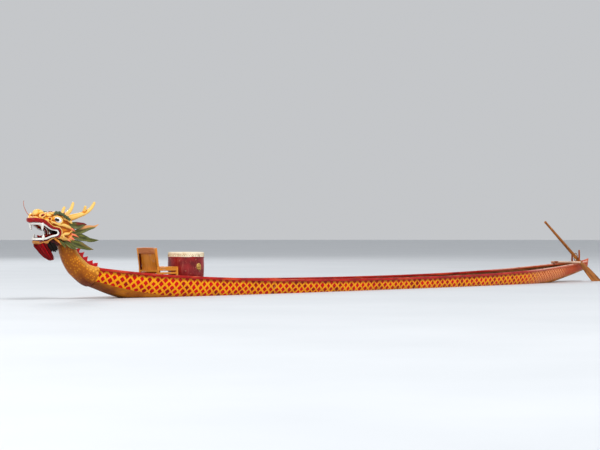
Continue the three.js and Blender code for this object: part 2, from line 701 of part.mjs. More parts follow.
addPiece('starboard_whisker', whisker(), PAINT.copper);
[['port', 1], ['starboard', -1]].forEach(([name, side]) => {
  addPiece(`${name}_eye`, eye(side), PAINT.white);
  addPiece(`${name}_antler`, antler(side), PAINT.antler);
  addPiece(`${name}_mane`, mane(side), PAINT.leaf);
});

// Drummer's chair.

const chairFoot = DRUM_DECK.top + GAP;

// A square post between two points of the x-z plane, at a distance from the centreplane.
function post([x0, z0], [x1, z1], y, thick) {
  const half = thick / 2;
  const ring = (x, z) => [[-half, -half], [half, -half], [half, half], [-half, half]]
    .map(([dx, dy]) => new THREE.Vector3(x + dx, y + dy, z));
  return loft([ring(x0, z0), ring(x1, z1)]);
}

// Place of the chair's back at any height: upright to the seat, then leaning forward.
const chairLean = (z) => (
  CHAIR.back + (CHAIR.rake * Math.max(z - CHAIR.seatTop, 0)) / (CHAIR.top - CHAIR.seatTop));

function chairFrame() {
  const { back, front, half, stile, seatTop, seatThick, top, rake, apron } = CHAIR;
  const { stretcher, stretcherHalf, panelLow, lowRail, splice, proud } = CHAIR;
  const low = seatTop - seatThick - GAP;
  const s = stile / 2;
  const y = half - s;
  const thin = s - CHAIR.inset;
  const bars = [];
  [y, -y].forEach((side) => {
    const sideBar = (z0, z1) => block(front, back, side - thin, side + thin, z0, z1);
    bars.push(post([back, chairFoot], [back, seatTop], side, stile));
    bars.push(post([back, seatTop - splice], [back + rake, top], side, stile));
    bars.push(post([front, chairFoot], [front, low], side, stile));
    bars.push(sideBar(stretcher - stretcherHalf, stretcher + stretcherHalf));
    bars.push(sideBar(low - apron, low));
  });
  bars.push(block(back - thin, back + thin, -y, y, panelLow - lowRail, panelLow));
  bars.push(block(front - thin, front + thin, -y, y, low - apron, low));
  const railLow = top - CHAIR.topRail;
  const railTopEdge = top + proud;
  const wide = half - proud;
  const outline = [[-wide, railLow], [wide, railLow], [wide, railTopEdge], [-wide, railTopEdge]];
  const face = (dx) => outline.map(([dy, z]) => new THREE.Vector3(chairLean(z) + dx, dy, z));
  bars.push(loft([face(-s), face(s)]));
  return join(...bars);
}
addPiece('chair_frame', chairFrame(), PAINT.chair);

function chairSeat() {
  const { back, front, half, stile, seatTop, seatThick } = CHAIR;
  const clear = stile / 2 + GAP;
  return block(front - clear, back - clear, -half, half, seatTop - seatThick, seatTop);
}
addPiece('chair_seat', chairSeat(), PAINT.chair);

function chairBackPanel() {
  const { half, stile, seatTop, top, topRail, panelLow, panelThick } = CHAIR;
  const y = half - stile - GAP;
  const heights = [panelLow + GAP, seatTop, top - topRail - GAP];
  return loft(heights.map((z) => [[-1, -y], [1, -y], [1, y], [-1, y]]
    .map(([side, dy]) => new THREE.Vector3(chairLean(z) + (side * panelThick) / 2, dy, z))));
}
addPiece('chair_back_panel', chairBackPanel(), PAINT.chair);

// Drum and stand.

const drumTop = DRUM.top - DRUM.skin - GAP;
function drumRadius(z) {
  const t = (z - DRUM.foot) / (drumTop - DRUM.foot);
  return DRUM.end + (DRUM.belly - DRUM.end) * 4 * t * (1 - t);
}

// A lathe turned about the drum's own upright axis.
function turned(profile) {
  const shape = profile.map(([r, z]) => new THREE.Vector2(r, z));
  return new THREE.LatheGeometry(shape, DRUM_SIDES).rotateX(Math.PI / 2).translate(DRUM.x, 0, 0);
}

function drumBarrel() {
  const heightAt = (t) => THREE.MathUtils.lerp(DRUM.foot, drumTop, t);
  const outside = [0, 0.2, 0.4, 0.6, 0.8, 1].map((t) => [drumRadius(heightAt(t)), heightAt(t)]);
  const inside = [1, 0.6, 0.4, DRUM_HOLLOW]
    .map((t) => [drumRadius(heightAt(t)) - DRUM.wall, heightAt(t)]);
  return turned([[0, DRUM.foot], ...outside, ...inside, [0, heightAt(DRUM_HOLLOW)]]);
}
addPiece('drum_barrel', drumBarrel(), PAINT.drum);

function drumSkin() {
  const { top, skirt, skin: thick } = DRUM;
  const low = top - skirt;
  const middle = top - skirt / 2;
  const under = drumTop + GAP;
  const end = drumRadius(drumTop);
  const out = (z, more) => [drumRadius(Math.min(z, drumTop)) + GAP + more, z];
  return turned([
    [0, under], [end + 2 * GAP, under], out(middle, 2 * GAP), out(low, 2 * GAP),
    out(low, thick), out(middle, thick), out(top - 4, thick),
    [end, top], [0, top],
  ]);
}
addPiece('drum_skin', drumSkin(), PAINT.skin);

function drumStand() {
  const { reach, leg, rail, inset } = STAND;
  const low = DRUM_DECK.top + GAP;
  const top = DRUM.foot - GAP;
  const railTopEdge = top - 1;
  const half = leg / 2;
  const thin = half - inset;
  const { x } = DRUM;
  const parts = [];
  [-reach, reach].forEach((out) => {
    [-reach, reach].forEach((y) => {
      parts.push(block(x + out - half, x + out + half, y - half, y + half, low, top));
    });
    parts.push(block(x + out - thin, x + out + thin, -reach, reach, top - rail, railTopEdge));
    parts.push(block(x - reach, x + reach, out - thin, out + thin, top - rail, railTopEdge));
  });
  return join(...parts);
}
addPiece('drum_stand', drumStand(), PAINT.darkWood);

// Crutch, becket and steering oar.

function crutch() {
  const { beamHalf, inboard, outboard, spread, post: radius, innerTop, outerTop } = CRUTCH;
  const x = OAR_PIVOT.x;
  const ropeLow = BECKET.halfHeight + BECKET.rope * Math.cos(Math.PI / BECKET.sides);
  const top = OAR_PIVOT.z - ropeLow - GAP;
  const low = railTop(x - beamHalf) + GAP;
  const beam = block(x - beamHalf, x + beamHalf, inboard, outboard, low, top);
  const posts = [[-spread, innerTop], [spread, outerTop]].map(([dy, high]) => bar([
    { at: [x, OAR_PIVOT.y + dy, low + 5], r: radius }, { at: [x, OAR_PIVOT.y + dy, high], r: radius * 0.8 },
  ], { sides: 10 }));
  return join(beam, ...posts);
}
addPiece('steering_crutch', crutch(), PAINT.darkWood);

function becket() {
  return loft(Array.from({ length: BECKET.steps }, (_, i) => {
    const angle = (i / BECKET.steps) * 2 * Math.PI;
    const outward = new THREE.Vector3(0, Math.cos(angle), Math.sin(angle));
    const centre = OAR_PIVOT.clone();
    centre.y += BECKET.halfWidth * Math.cos(angle);
    centre.z += BECKET.halfHeight * Math.sin(angle);
    return oval(centre, outward, ALONG_X, BECKET.rope, BECKET.rope, BECKET.sides);
  }), true);
}
addPiece('rope_becket', becket(), PAINT.rope);

const oarAxis = new THREE.Vector3(Math.cos(OAR_SLOPE), 0, Math.sin(OAR_SLOPE));
const oarStops = (stops) => stops.map(({ s, w, h }) => (
  { at: OAR_PIVOT.clone().addScaledVector(oarAxis, s), w, h }));
addPiece('oar_loom', bar(oarStops(LOOM_STOPS), { sides: 12 }), PAINT.wood);
addPiece('oar_blade', bar(oarStops(BLADE_STOPS), { sides: 12 }), PAINT.wood);

export default boat;
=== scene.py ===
"""Surfaces and finishes of a wooden racing dragon boat, in metres.

+X points to the bow, +Y to port and +Z up. The origin is amidships, on the centreplane, at the
level of the water that the boat floats in.
"""

import math

import bpy
import numpy as np
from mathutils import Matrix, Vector


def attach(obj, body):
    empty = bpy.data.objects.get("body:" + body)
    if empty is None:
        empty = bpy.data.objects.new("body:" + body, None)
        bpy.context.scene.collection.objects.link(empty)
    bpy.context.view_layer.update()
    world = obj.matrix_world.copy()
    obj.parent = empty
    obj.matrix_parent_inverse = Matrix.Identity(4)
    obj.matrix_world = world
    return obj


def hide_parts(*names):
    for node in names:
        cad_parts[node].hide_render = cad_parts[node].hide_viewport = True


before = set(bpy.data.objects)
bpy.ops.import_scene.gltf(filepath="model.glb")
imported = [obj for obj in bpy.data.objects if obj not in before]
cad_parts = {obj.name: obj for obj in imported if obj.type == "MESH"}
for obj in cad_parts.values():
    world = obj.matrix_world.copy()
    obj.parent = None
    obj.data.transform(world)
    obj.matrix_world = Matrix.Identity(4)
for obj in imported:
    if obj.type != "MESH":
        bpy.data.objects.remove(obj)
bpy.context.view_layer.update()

bl_info = {
    "name": "Dragon Boat",
    "version": (1, 0, 0),
    "blender": (4, 5, 0),
    "location": "View3D > Sidebar > Dragon Boat",
    "description": "Builds a painted wooden dragon boat with its carved head, drum and steering oar",
    "category": "Add Mesh",
}

SIDES = {"port": 1.0, "starboard": -1.0}
BOTH = tuple(SIDES.values())

# Cross sections of the hull: place, half breadth at the rail, top of the rail, underside of the keel.
SECTION_X = np.array([-7.1, -6.5, -5.6, -4.4, -2.6, 0.0, 2.5, 4.2, 5.2, 5.9, 6.4])
SECTIONS = {
    "half": np.array([0.12, 0.225, 0.36, 0.475, 0.56, 0.59, 0.572, 0.51, 0.42, 0.315, 0.2]),
    "rail": np.array([0.425, 0.378, 0.322, 0.265, 0.222, 0.21, 0.236, 0.296, 0.352, 0.412, 0.47]),
    "keel": np.array([0.235, 0.12, -0.03, -0.17, -0.24, -0.25, -0.238, -0.19, -0.11, 0.015, 0.165]),
}
STERN_END = SECTION_X[0]
BOW_END = 6.485
SIDE_FULLNESS = 0.85
BILGE_FULLNESS = 0.9
PLANK = 0.022
RAIL_HEIGHT = 0.042
RAIL_LIP = 0.018
KEEL_EDGE = 9.0
CHINE = 50.0
RAIL_EDGE = 90.0


# Values and colours of a material

def srgb(red, green, blue):
    """A colour given in 0 to 255 as seen on a screen, as the linear numbers that Blender takes."""
    shares = np.array([red, green, blue]) / 255
    return tuple(np.where(shares > 0.04045, ((shares + 0.055) / 1.055) ** 2.4, shares / 12.92))


def reckon(operation, swapped=False):
    """A method of a value that adds a Math node of that operation."""
    def method(self, other=0.0):
        values = {0: other, 1: self} if swapped else {0: self, 1: other}
        return self.paint.node("ShaderNodeMath", 0, {"operation": operation}, values)
    return method


class Sock:
    """A value in a material. Arithmetic on it adds Math nodes."""

    def __init__(self, paint, socket):
        self.paint = paint
        self.socket = socket

    __add__ = reckon("ADD")
    __radd__ = reckon("ADD", True)
    __sub__ = reckon("SUBTRACT")
    __rsub__ = reckon("SUBTRACT", True)
    __mul__ = reckon("MULTIPLY")
    __rmul__ = reckon("MULTIPLY", True)
    __abs__ = reckon("ABSOLUTE")
    fraction = reckon("FRACT")
    larger = reckon("MAXIMUM")
    smaller = reckon("MINIMUM")

    def ease(self, low, high):
        """0 at low and 1 at high, smooth between them."""
        values = {"Value": self, "From Min": low, "From Max": high}
        return self.paint.node(
            "ShaderNodeMapRange", "Result", {"interpolation_type": "SMOOTHSTEP"}, values)


class Paint:
    """One material and its nodes."""

    def __init__(self, name, **constants):
        self.material = bpy.data.materials.new(name)
        self.material.use_nodes = True
        self.tree = self.material.node_tree
        self.shader = self.tree.nodes["Principled BSDF"]
        self.shader.inputs["Specular IOR Level"].default_value = 0.16
        for key, value in constants.items():
            self.shader.inputs[key.replace("_", " ").title()].default_value = value

    def node(self, kind, output, settings=None, values=None):
        """Adds a node of that type. Its settings are set first, then the values or links of its
        sockets. Returns the named output."""
        node = self.tree.nodes.new(kind)
        for key, value in (settings or {}).items():
            setattr(node, key, value)
        for key, value in (values or {}).items():
            self.put(node.inputs[key], value)
        return Sock(self, node.outputs[output])

    def put(self, socket, value):
        if isinstance(value, Sock):
            self.tree.links.new(value.socket, socket)
        elif socket.type == "RGBA":
            socket.default_value = (*value[:3], 1.0)
        else:
            socket.default_value = value

    def place(self, scale=(1, 1, 1), shift=None):
        """Object coordinates, scaled along each axis, and moved by a value where one is given."""
        place = self.node("ShaderNodeTexCoord", "Object")
        if shift is not None:
            moved = {0: place, 1: self.node("ShaderNodeCombineXYZ", 0, None, {0: shift, 2: shift})}
            place = self.node("ShaderNodeVectorMath", 0, {"operation": "ADD"}, moved)
        return self.node("ShaderNodeMapping", "Vector", None, {"Vector": place, "Scale": scale})

    def parts(self, place):
        split = self.node("ShaderNodeSeparateXYZ", 0, None, {0: place}).socket.node
        return [Sock(self, output) for output in split.outputs]

    def axes(self):
        """X, Y and Z of the object coordinates."""
        return self.parts(self.node("ShaderNodeTexCoord", "Object"))

    def uv(self):
        """The two values of the piece's own map."""
        return self.parts(self.node("ShaderNodeUVMap", "UV", {"uv_map": "surface"}))[:2]

    def attribute(self, name):
        return self.node("ShaderNodeAttribute", "Fac", {"attribute_name": name})

    def noise(self, scale, detail=3.0, distortion=0.0, over=(1, 1, 1)):
        """Uneven patches over a map, or over the object's own place scaled along each axis."""
        values = {"Vector": self.place(over) if isinstance(over, tuple) else over, "Scale": scale,
                  "Detail": detail, "Distortion": distortion, "Roughness": 0.55}
        return self.node("ShaderNodeTexNoise", 0, None, values)

    def cells(self, place, scale, randomness):
        """How far the nearest cell's middle is."""
        values = {"Vector": place, "Scale": scale, "Randomness": randomness}
        return self.node("ShaderNodeTexVoronoi", "Distance", None, values)

    def join(self, first, second, third=0.0):
        return self.node("ShaderNodeCombineXYZ", 0, None, {0: first, 1: second, 2: third})

    def mix(self, share, first, second):
        """The first colour at share 0, the second at share 1."""
        values = {0: share, 6: first, 7: second}
        return self.node("ShaderNodeMix", 2, {"data_type": "RGBA"}, values)

    def layers(self, colour, *coats):
        """Coats over a colour, the lowest first, each as the share of it that shows and its colour."""
        for share, coat in coats:
            colour = self.mix(share, colour, coat)
        return colour

    def done(self, colour, roughness, height=None, depth=0.0):
        """Feeds the shader. height makes a bump that stands depth metres proud at height 1."""
        self.put(self.shader.inputs["Base Color"], colour)
        self.put(self.shader.inputs["Roughness"], roughness)
        if height is not None:
            values = {"Height": height, "Distance": depth, "Strength": 1.0}
            self.put(self.shader.inputs["Normal"], self.node("ShaderNodeBump", 0, None, values))
        return self.material


# Surfaces

def unit(vectors):
    return vectors / np.maximum(np.linalg.norm(vectors, axis=-1, keepdims=True), 1e-9)


def smooth(stops, count):
    """Rows along a smooth curve through the stops: between two stops each column is a cubic whose
    slope at a stop joins the stop's neighbours. Columns past the place, such as radii, ride along."""
    stops = np.asarray(stops, float)
    t = np.linspace(0, len(stops) - 1, count)
    k = np.minimum(t.astype(int), len(stops) - 2)
    f = (t - k)[:, None]
    padded = np.vstack([2 * stops[0] - stops[1], stops, 2 * stops[-1] - stops[-2]])
    a, b, c, d = (padded[k + i] for i in range(4))
    bend = (2 * a - 5 * b + 4 * c - d) * f ** 2 + (3 * b - a - 3 * c + d) * f ** 3
    return 0.5 * (2 * b + (c - a) * f + bend)


def metres(rows):
    """Rows of measures given in millimetres."""
    return np.array(rows) / 1000


def turns_of(sides):
    """Angles evenly spaced round a full turn."""
    return 2 * math.pi * np.arange(sides) / sides


def squared_ring(sides, power):
    """cos(a) ** (2 / power) and sin(a) ** (2 / power) round a ring, with their signs kept."""
    angle = turns_of(sides)
    return [np.sign(wave) * np.abs(wave) ** (2 / power) for wave in (np.cos(angle), np.sin(angle))]


def corners(gaps, n):
    """The ring and the place in it of each four-sided face's corners, over the gaps between rings."""
    rows, columns = np.meshgrid(np.arange(gaps), np.arange(n), indexing="ij")
    steps = ((0, 0), (0, 1), (1, 1), (1, 0))
    row = np.stack([rows + a for a, _ in steps], -1).reshape(-1, 4)
    return row, np.stack([columns + b for _, b in steps], -1).reshape(-1, 4)


def metric_map(rings, loop):
    """A map in metres: the first value is the way along the rings, the second the way round one."""
    rows = np.concatenate([rings, rings[:1]]) if loop else rings
    along = np.linalg.norm(np.diff(rows, axis=0), axis=2).mean(1)
    around = np.linalg.norm(np.diff(rings, axis=1, append=rings[:, :1]), axis=2).mean(0)
    ways = [np.append(0, np.cumsum(way)) for way in (along, around)]
    return np.stack(np.meshgrid(*ways, indexing="ij"), -1)


def shell(rings, loop=False, uv=None, tone=0.5, mark=None):
    """A closed surface of m rings of n points, given as an array m by n by 3. Ring i is joined to
    ring i + 1 by four-sided faces, and the end rings are filled unless the rings make a loop. The
    faces are turned outwards by the sign of the volume: a sixth of the sum of a . (b x c)."""
    m, n = rings.shape[:2]
    row, column = corners(m if loop else m - 1, n)
    faces = (row % m) * n + column % n
    if uv is None:
        uv = metric_map(rings, loop)
    corner_uv = uv[row, column]
    points = rings.reshape(-1, 3)
    a, b, c, d = (points[faces[:, k]] for k in range(4))
    volume = np.sum(a * np.cross(b, c)) + np.sum(a * np.cross(c, d))
    ends = [] if loop else [np.arange(n)[::-1], (m - 1) * n + np.arange(n)]
    if volume < 0:
        faces = faces[:, ::-1]
        corner_uv = corner_uv[:, ::-1]
        ends = [end[::-1] for end in ends]
    mark = np.zeros(len(points)) if mark is None else np.asarray(mark, float).ravel()
    return {
        "points": points, "faces": faces, "ends": ends, "uv": corner_uv, "mark": mark,
        "end_uv": [uv[end // n, end % n] for end in ends], "tone": np.full(len(points), tone),
    }


def gather(shells):
    """The points, edges and faces of several shells, as one mesh takes them."""
    faces, first = [], 0
    for part in shells:
        faces += (part["faces"] + first).tolist() + [(end + first).tolist() for end in part["ends"]]
        first += len(part["points"])
    return np.concatenate([part["points"] for part in shells]).tolist(), [], faces


def piece(name, shells, *finish, **more):
    """One object out of shells, with its map and its two attributes, tone and mark."""
    mesh = bpy.data.meshes.new(name)
    mesh.from_pydata(*gather(shells))
    maps = [flat for part in shells for flat in (part["uv"].reshape(-1, 2), *part["end_uv"])]
    # In each shell the maps of the faces come before those of the ends, as the faces do.
    layer = mesh.uv_layers.new(name="surface")
    layer.uv.foreach_set("vector", np.concatenate(maps).astype(np.float32).ravel())
    for key in ("tone", "mark"):
        store(mesh, key, np.concatenate([part[key] for part in shells]))
    return show(name, mesh, *finish, **more)


def added(name, data):
    """A new object in the scene."""
    thing = bpy.data.objects.new(name, data)
    bpy.context.scene.collection.objects.link(thing)
    return thing


def show(name, mesh, material, replaces, slot, body="hull", crease=45.0):
    """Puts a finished mesh in the scene as one piece that rides on a body."""
    mesh.shade_smooth()
    mesh.set_sharp_from_angle(angle=math.radians(crease))
    mesh.materials.append(material)
    thing = added(name, mesh)
    if replaces:
        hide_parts(*replaces)
    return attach(thing, body)


def dress(node, material):
    """Gives a CAD node that stays in view its finish."""
    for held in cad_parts[node].material_slots:
        held.material = material


END_RINGS = 5


def round_ends(path, wide, high):
    """Adds rings past both ends of a bar, so that it ends in half an ellipsoid: at the angle t the
    ring is the smaller half size times sin t past the end, and cos t times as large."""
    angles = np.linspace(math.pi / 2, 0, END_RINGS, endpoint=False)
    shrink = np.maximum(np.cos(angles), 0.02)
    ends = []
    for at, inner in ((0, 1), (-1, -2)):
        reach = min(wide[at], high[at]) * np.sin(angles)[:, None]
        places = path[at] + unit(path[at] - path[inner]) * reach
        ends.append((places, wide[at] * shrink, high[at] * shrink))
    return [np.concatenate([first, bar, last[::-1]])
            for first, bar, last in zip(ends[0], (path, wide, high), ends[1])]


def beside(line, first, second, a, b):
    """Rings of places round a line: each place of it, plus a times its first direction and b times
    its second, where a and b hold a row of values for each place."""
    return line[:, None] + first[:, None] * a[..., None] + second[:, None] * b[..., None]


def sweep(path, wide, high, sides=20, guide=(0, 1, 0), power=2.0, ends="round", loop=False, **more):
    """A bar along a path. Round the ring the point is wide * cos(a) ** (2 / power) along the guide
    and high * sin(a) ** (2 / power) square to it and to the path: power 2 gives an ellipse, a
    larger one a squarer ring and a smaller one a sharper edge."""
    path = np.asarray(path, float)
    wide, high = (np.broadcast_to(np.asarray(half, float), len(path)) for half in (wide, high))
    guide = np.broadcast_to(np.asarray(guide, float), path.shape)
    if ends == "round" and not loop:
        guide = np.vstack([guide[:1]] * END_RINGS + [guide] + [guide[-1:]] * END_RINGS)
        path, wide, high = round_ends(path, wide, high)
    if loop:
        tangent = unit(np.roll(path, -1, 0) - np.roll(path, 1, 0))
    else:
        tangent = unit(np.gradient(path, axis=0))
    across = unit(guide - tangent * np.sum(guide * tangent, 1, keepdims=True))
    upward = np.cross(tangent, across)
    out, rise = squared_ring(sides, power)
    rings = beside(path, across, upward, wide[:, None] * out, high[:, None] * rise)
    return shell(rings, loop=loop, **more)


def limb(stops, count=40, side=1.0, **more):
    """A round bar through stops of x, y, z and radius, mirrored for the other side."""
    rows = smooth(stops, count)
    path = rows[:, :3] * (1, side, 1)
    radius = np.maximum(rows[:, 3], 0.0006)
    return sweep(path, radius, radius, **more)


def ball(centre, radii, sides=24, axes=np.eye(3), **more):
    """An ellipsoid: at the angles a and b the point is centre + the sum of each axis times its
    radius times cos a, sin a cos b or sin a sin b."""
    a = np.linspace(0.02, math.pi - 0.02, sides // 2 + 1)[:, None, None]
    b = turns_of(sides)[None, :, None]
    x, y, z = (np.asarray(axes, float)[k] * radii[k] for k in range(3))
    rings = np.asarray(centre, float) + np.cos(a) * x + np.sin(a) * np.cos(b) * y \
        + np.sin(a) * np.sin(b) * z
    return shell(rings, **more)


def rounded_outline(half_wide, half_high, radius, steps=4):
    """A rectangle with quarter circles at its corners, as points in order round it."""
    reach = np.array([half_wide - radius, half_high - radius])
    parts = []
    for quarter, signs in enumerate(((1, 1), (-1, 1), (-1, -1), (1, -1))):
        angle = np.linspace(0, math.pi / 2, steps + 1) + quarter * math.pi / 2
        parts.append(reach * signs + radius * np.stack([np.cos(angle), np.sin(angle)], 1))
    return np.concatenate(parts)


def timber(start, end, half_wide, half_high, radius=0.004, guide=(0, 1, 0), **more):
    """A straight squared bar with rounded edges. Near an end the ring at the angle t lies
    radius * (1 - cos t) from the end and is radius * (1 - sin t) smaller all round."""
    start, end = np.array([start, end], float)
    along = unit(end - start)
    across = unit(np.asarray(guide, float) - along * np.dot(guide, along))
    upward = np.cross(along, across)
    turns = np.linspace(0.15, math.pi / 2, 4)
    near = [(radius * (1 - math.cos(t)), radius * (1 - math.sin(t))) for t in turns]
    length = float(np.linalg.norm(end - start))
    places = near + [(length - away, inset) for away, inset in near[::-1]]
    rings = []
    for away, inset in places:
        outline = rounded_outline(
            half_wide - inset, half_high - inset, max(radius - inset, radius * 0.15))
        rings.append(start + along * away + outline[:, :1] * across + outline[:, 1:] * upward)
    return shell(np.stack(rings), **more)


def crosswise(x, half, z, *sizes, **more):
    """A timber from side to side of the boat."""
    return timber((x, -half, z), (x, half, z), *sizes, guide=(1, 0, 0), **more)


def lengthwise(x, middle, half_wide, height, half_high, radius, bevel=0.002, **more):
    """A squared bar along the boat: at each x a rectangle with rounded corners about the place
    (middle, height). The first and last rings are a bevel smaller and that far from the next."""
    x = np.asarray(x, float)
    parts = [np.broadcast_to(np.asarray(part, float), x.shape)
             for part in (middle, half_wide, height, half_high)]
    stations = np.concatenate([x[:1], x[:1] + bevel, x[1:-1], x[-1:] - bevel, x[-1:]])
    middle, half_wide, height, half_high = (np.interp(stations, x, part) for part in parts)
    inset = np.zeros(len(stations))
    inset[[0, -1]] = bevel
    rings = []
    for row in zip(stations, middle, half_wide, height, half_high, inset):
        outline = rounded_outline(row[2] - row[5], row[4] - row[5], max(radius - row[5], radius * 0.3))
        rings.append(np.column_stack([np.full(len(outline), row[0]), outline + (row[1], row[3])]))
    return shell(np.stack(rings), **more)


def fuse(shells, voxel, rounds):
    """Melts shells that cross each other into one smooth skin, and returns its mesh."""
    rough = bpy.data.meshes.new("rough")
    rough.from_pydata(*gather(shells))
    block = added("rough", rough)
    grid = block.modifiers.new("grid", "REMESH")
    grid.mode = "VOXEL"
    grid.voxel_size = voxel
    rub = block.modifiers.new("rub", "SMOOTH")
    rub.factor = 0.5
    rub.iterations = rounds
    graph = bpy.context.evaluated_depsgraph_get()
    mesh = bpy.data.meshes.new_from_object(block.evaluated_get(graph))
    bpy.data.objects.remove(block)
    bpy.data.meshes.remove(rough)
    return mesh


def places_of(mesh):
    """The points of a mesh and their normals, as arrays."""
    points = np.empty(len(mesh.vertices) * 3)
    normals = np.empty(len(mesh.vertices) * 3)
    mesh.vertices.foreach_get("co", points)
    mesh.vertices.foreach_get("normal", normals)
    return points.reshape(-1, 3), normals.reshape(-1, 3)


def mark_hollows(mesh, rounds=6):
    """Stores how hollow a skin is at each point, as the attribute tone: 0.5 on an even surface,
    more in a hollow and less on a ridge. It is how far the mean of a point's neighbours lies
    along its normal, spread over more neighbours by repeated means."""
    points, normals = places_of(mesh)
    ends = np.empty(len(mesh.edges) * 2, int)
    mesh.edges.foreach_get("vertices", ends)
    a, b = ends.reshape(-1, 2).T
    count = np.bincount(ends, minlength=len(points)).astype(float)

    def mean(values):
        total = np.bincount(a, values[b], len(points)) + np.bincount(b, values[a], len(points))
        return total / np.maximum(count, 1)

    middle = np.stack([mean(points[:, k]) for k in range(3)], 1)
    length = np.linalg.norm(points[a] - points[b], axis=1).mean()
    hollow = np.sum((middle - points) * normals, 1) / length
    for _ in range(rounds):
        hollow = mean(hollow)
    store(mesh, "tone", np.clip(0.5 + hollow * 6, 0, 1))


def store(mesh, name, values):
    mesh.attributes.new(name, "FLOAT", "POINT").data.foreach_set("value", values.astype(np.float32))


def wood_paint(name, light, dark, roughness=0.5, coat=0.0, mapped=True, wear=None, rubbed=None):
    """Planed timber: growth rings and fine grain run along the piece, its tone differs from board
    to board, wear shows a paler wood on it in patches, and rubbed is the colour where mark is 1."""
    paint = Paint(name, coat_weight=coat, coat_roughness=0.3)
    if mapped:
        u, v = paint.uv()
        tone = paint.attribute("tone")
        grain = paint.join(u * 1.4, v * 16, tone * 9)
        rough = paint.join(u * 6, v * 55, tone * 5)
    else:
        tone = 0.5
        grain = paint.place((1.4, 14, 14))
        rough = paint.place((6, 50, 50))
    figure = paint.noise(1.6, 4, 0.9, over=grain)
    fine = paint.noise(3.0, 2, 0.2, over=rough)
    stain = paint.noise(3.2, 3)
    share = figure.ease(0.32, 0.68) * 0.7 + fine * 0.3 + (tone - 0.5) * 0.5
    colour = paint.mix(share.larger(0).smaller(1), dark, light)
    colour = paint.mix(stain.ease(0.62, 0.78) * 0.35, colour, tuple(c * 0.35 for c in dark))
    if wear:
        colour = paint.mix(paint.noise(7, 4).ease(0.56, 0.66) * 0.6, colour, wear)
    if rubbed:
        colour = paint.mix(paint.attribute("mark") * stain.ease(0.3, 0.45), colour, rubbed)
    return paint.done(colour, figure * 0.2 + (roughness - 0.1), fine * 0.5 + figure * 0.5, 0.0008)


def lacquer(name, base, deep, worn):
    """Brushed enamel on wood: uneven coats, and small chips in patches that show what is below."""
    paint = Paint(name, coat_weight=0.2, coat_roughness=0.3)
    coats = paint.noise(5, 4)
    brush = paint.noise(22, 2, over=(1, 6, 6))
    chips = paint.noise(30, 4, 0.4).ease(0.64, 0.7)
    patch = paint.noise(1.7, 2).ease(0.4, 0.7)
    colour = paint.mix(coats.ease(0.35, 0.7) * 0.65 + brush * 0.2, base, deep)
    colour = paint.mix(chips * patch * 0.75, colour, worn)
    return paint.done(colour, coats * 0.25 + 0.35, brush * 0.5 - chips * 0.5, 0.0006)


def metal_paint(name, metallic, bright, dull, scale, detail, gloss, depth):
    """Metal with duller, rougher patches where it has tarnished."""
    paint = Paint(name, metallic=metallic)
    tarnish = paint.noise(scale, detail)
    colour = paint.mix(tarnish.ease(0.4, 0.7), bright, dull)
    return paint.done(colour, tarnish * 0.3 + gloss, tarnish, depth)


# Shape of the hull

def line_of(column, x):
    """A column of the table of sections at any place: between two sections it is the cubic whose
    slope at a section joins the section's neighbours."""
    values = SECTIONS[column]
    last = len(values) - 1
    k = np.arange(last + 1)
    before = np.maximum(k - 1, 0)
    after = np.minimum(k + 1, last)
    slopes = (values[after] - values[before]) / (SECTION_X[after] - SECTION_X[before])
    i = np.clip(np.searchsorted(SECTION_X, x) - 1, 0, last - 1)
    span = SECTION_X[i + 1] - SECTION_X[i]
    t = (x - SECTION_X[i]) / span
    rise = values[i + 1] - values[i]
    start = slopes[i] * span - rise
    end = rise - slopes[i + 1] * span
    return values[i] + rise * t + t * (1 - t) * (start * (1 - t) + end * t)


def skin(x, degrees):
    """Half breadth and height of the outer skin: half * sin(a) ** 0.85, and the top less the depth
    times cos(a) ** 0.9, so a section is flat at the keel and upright at the rail."""
    angle = np.radians(np.clip(degrees, 0, 90))
    top = line_of("rail", x) - RAIL_HEIGHT
    depth = top - line_of("keel", x)
    y = line_of("half", x) * np.sin(angle) ** SIDE_FULLNESS
    z = top - depth * np.maximum(np.cos(angle), 0) ** BILGE_FULLNESS
    return np.stack(np.broadcast_arrays(y, z), -1)


def inner_skin(x, degrees):
    """The inside of the planking: the skin moved square to itself by a plank's thickness."""
    step = 0.05
    run = unit(skin(x, degrees + step) - skin(x, degrees - step))
    return skin(x, degrees) + PLANK * np.stack([-run[..., 1], run[..., 0]], -1)


def breadth_at(x, z):
    """Half breadth between the planks at places along the boat, each at its own height."""
    degrees = np.linspace(0.5, 90, 180)
    half = []
    for place, height in zip(x, np.broadcast_to(z, np.shape(x))):
        line = inner_skin(np.full(len(degrees), float(place)), degrees)
        half.append(np.interp(height, line[:, 1], line[:, 0]))
    return np.array(half)


# Paint of the hull

LATTICE_PITCH = np.array([
    [-7.1, 0.155], [0.0, 0.152], [3.0, 0.146], [4.6, 0.137], [5.6, 0.146], [6.1, 0.132], [6.5, 0.126]])
LATTICE_ROWS = np.array([[-7.1, 0.12], [0.0, 0.123], [3.4, 0.12], [5.0, 0.122], [6.4, 0.128]])


OCHRE_SHADE = srgb(168, 88, 6)


def lattice_phase(x):
    """How many diamonds lie between amidships and x: the sum of dx over their pitch."""
    fine = np.linspace(STERN_END, BOW_END, 2000)
    pitch = np.interp(fine, *LATTICE_PITCH.T)
    total = np.concatenate([[0], np.cumsum(np.diff(fine) / (0.5 * (pitch[1:] + pitch[:-1])))])
    return np.interp(x, fine, total)


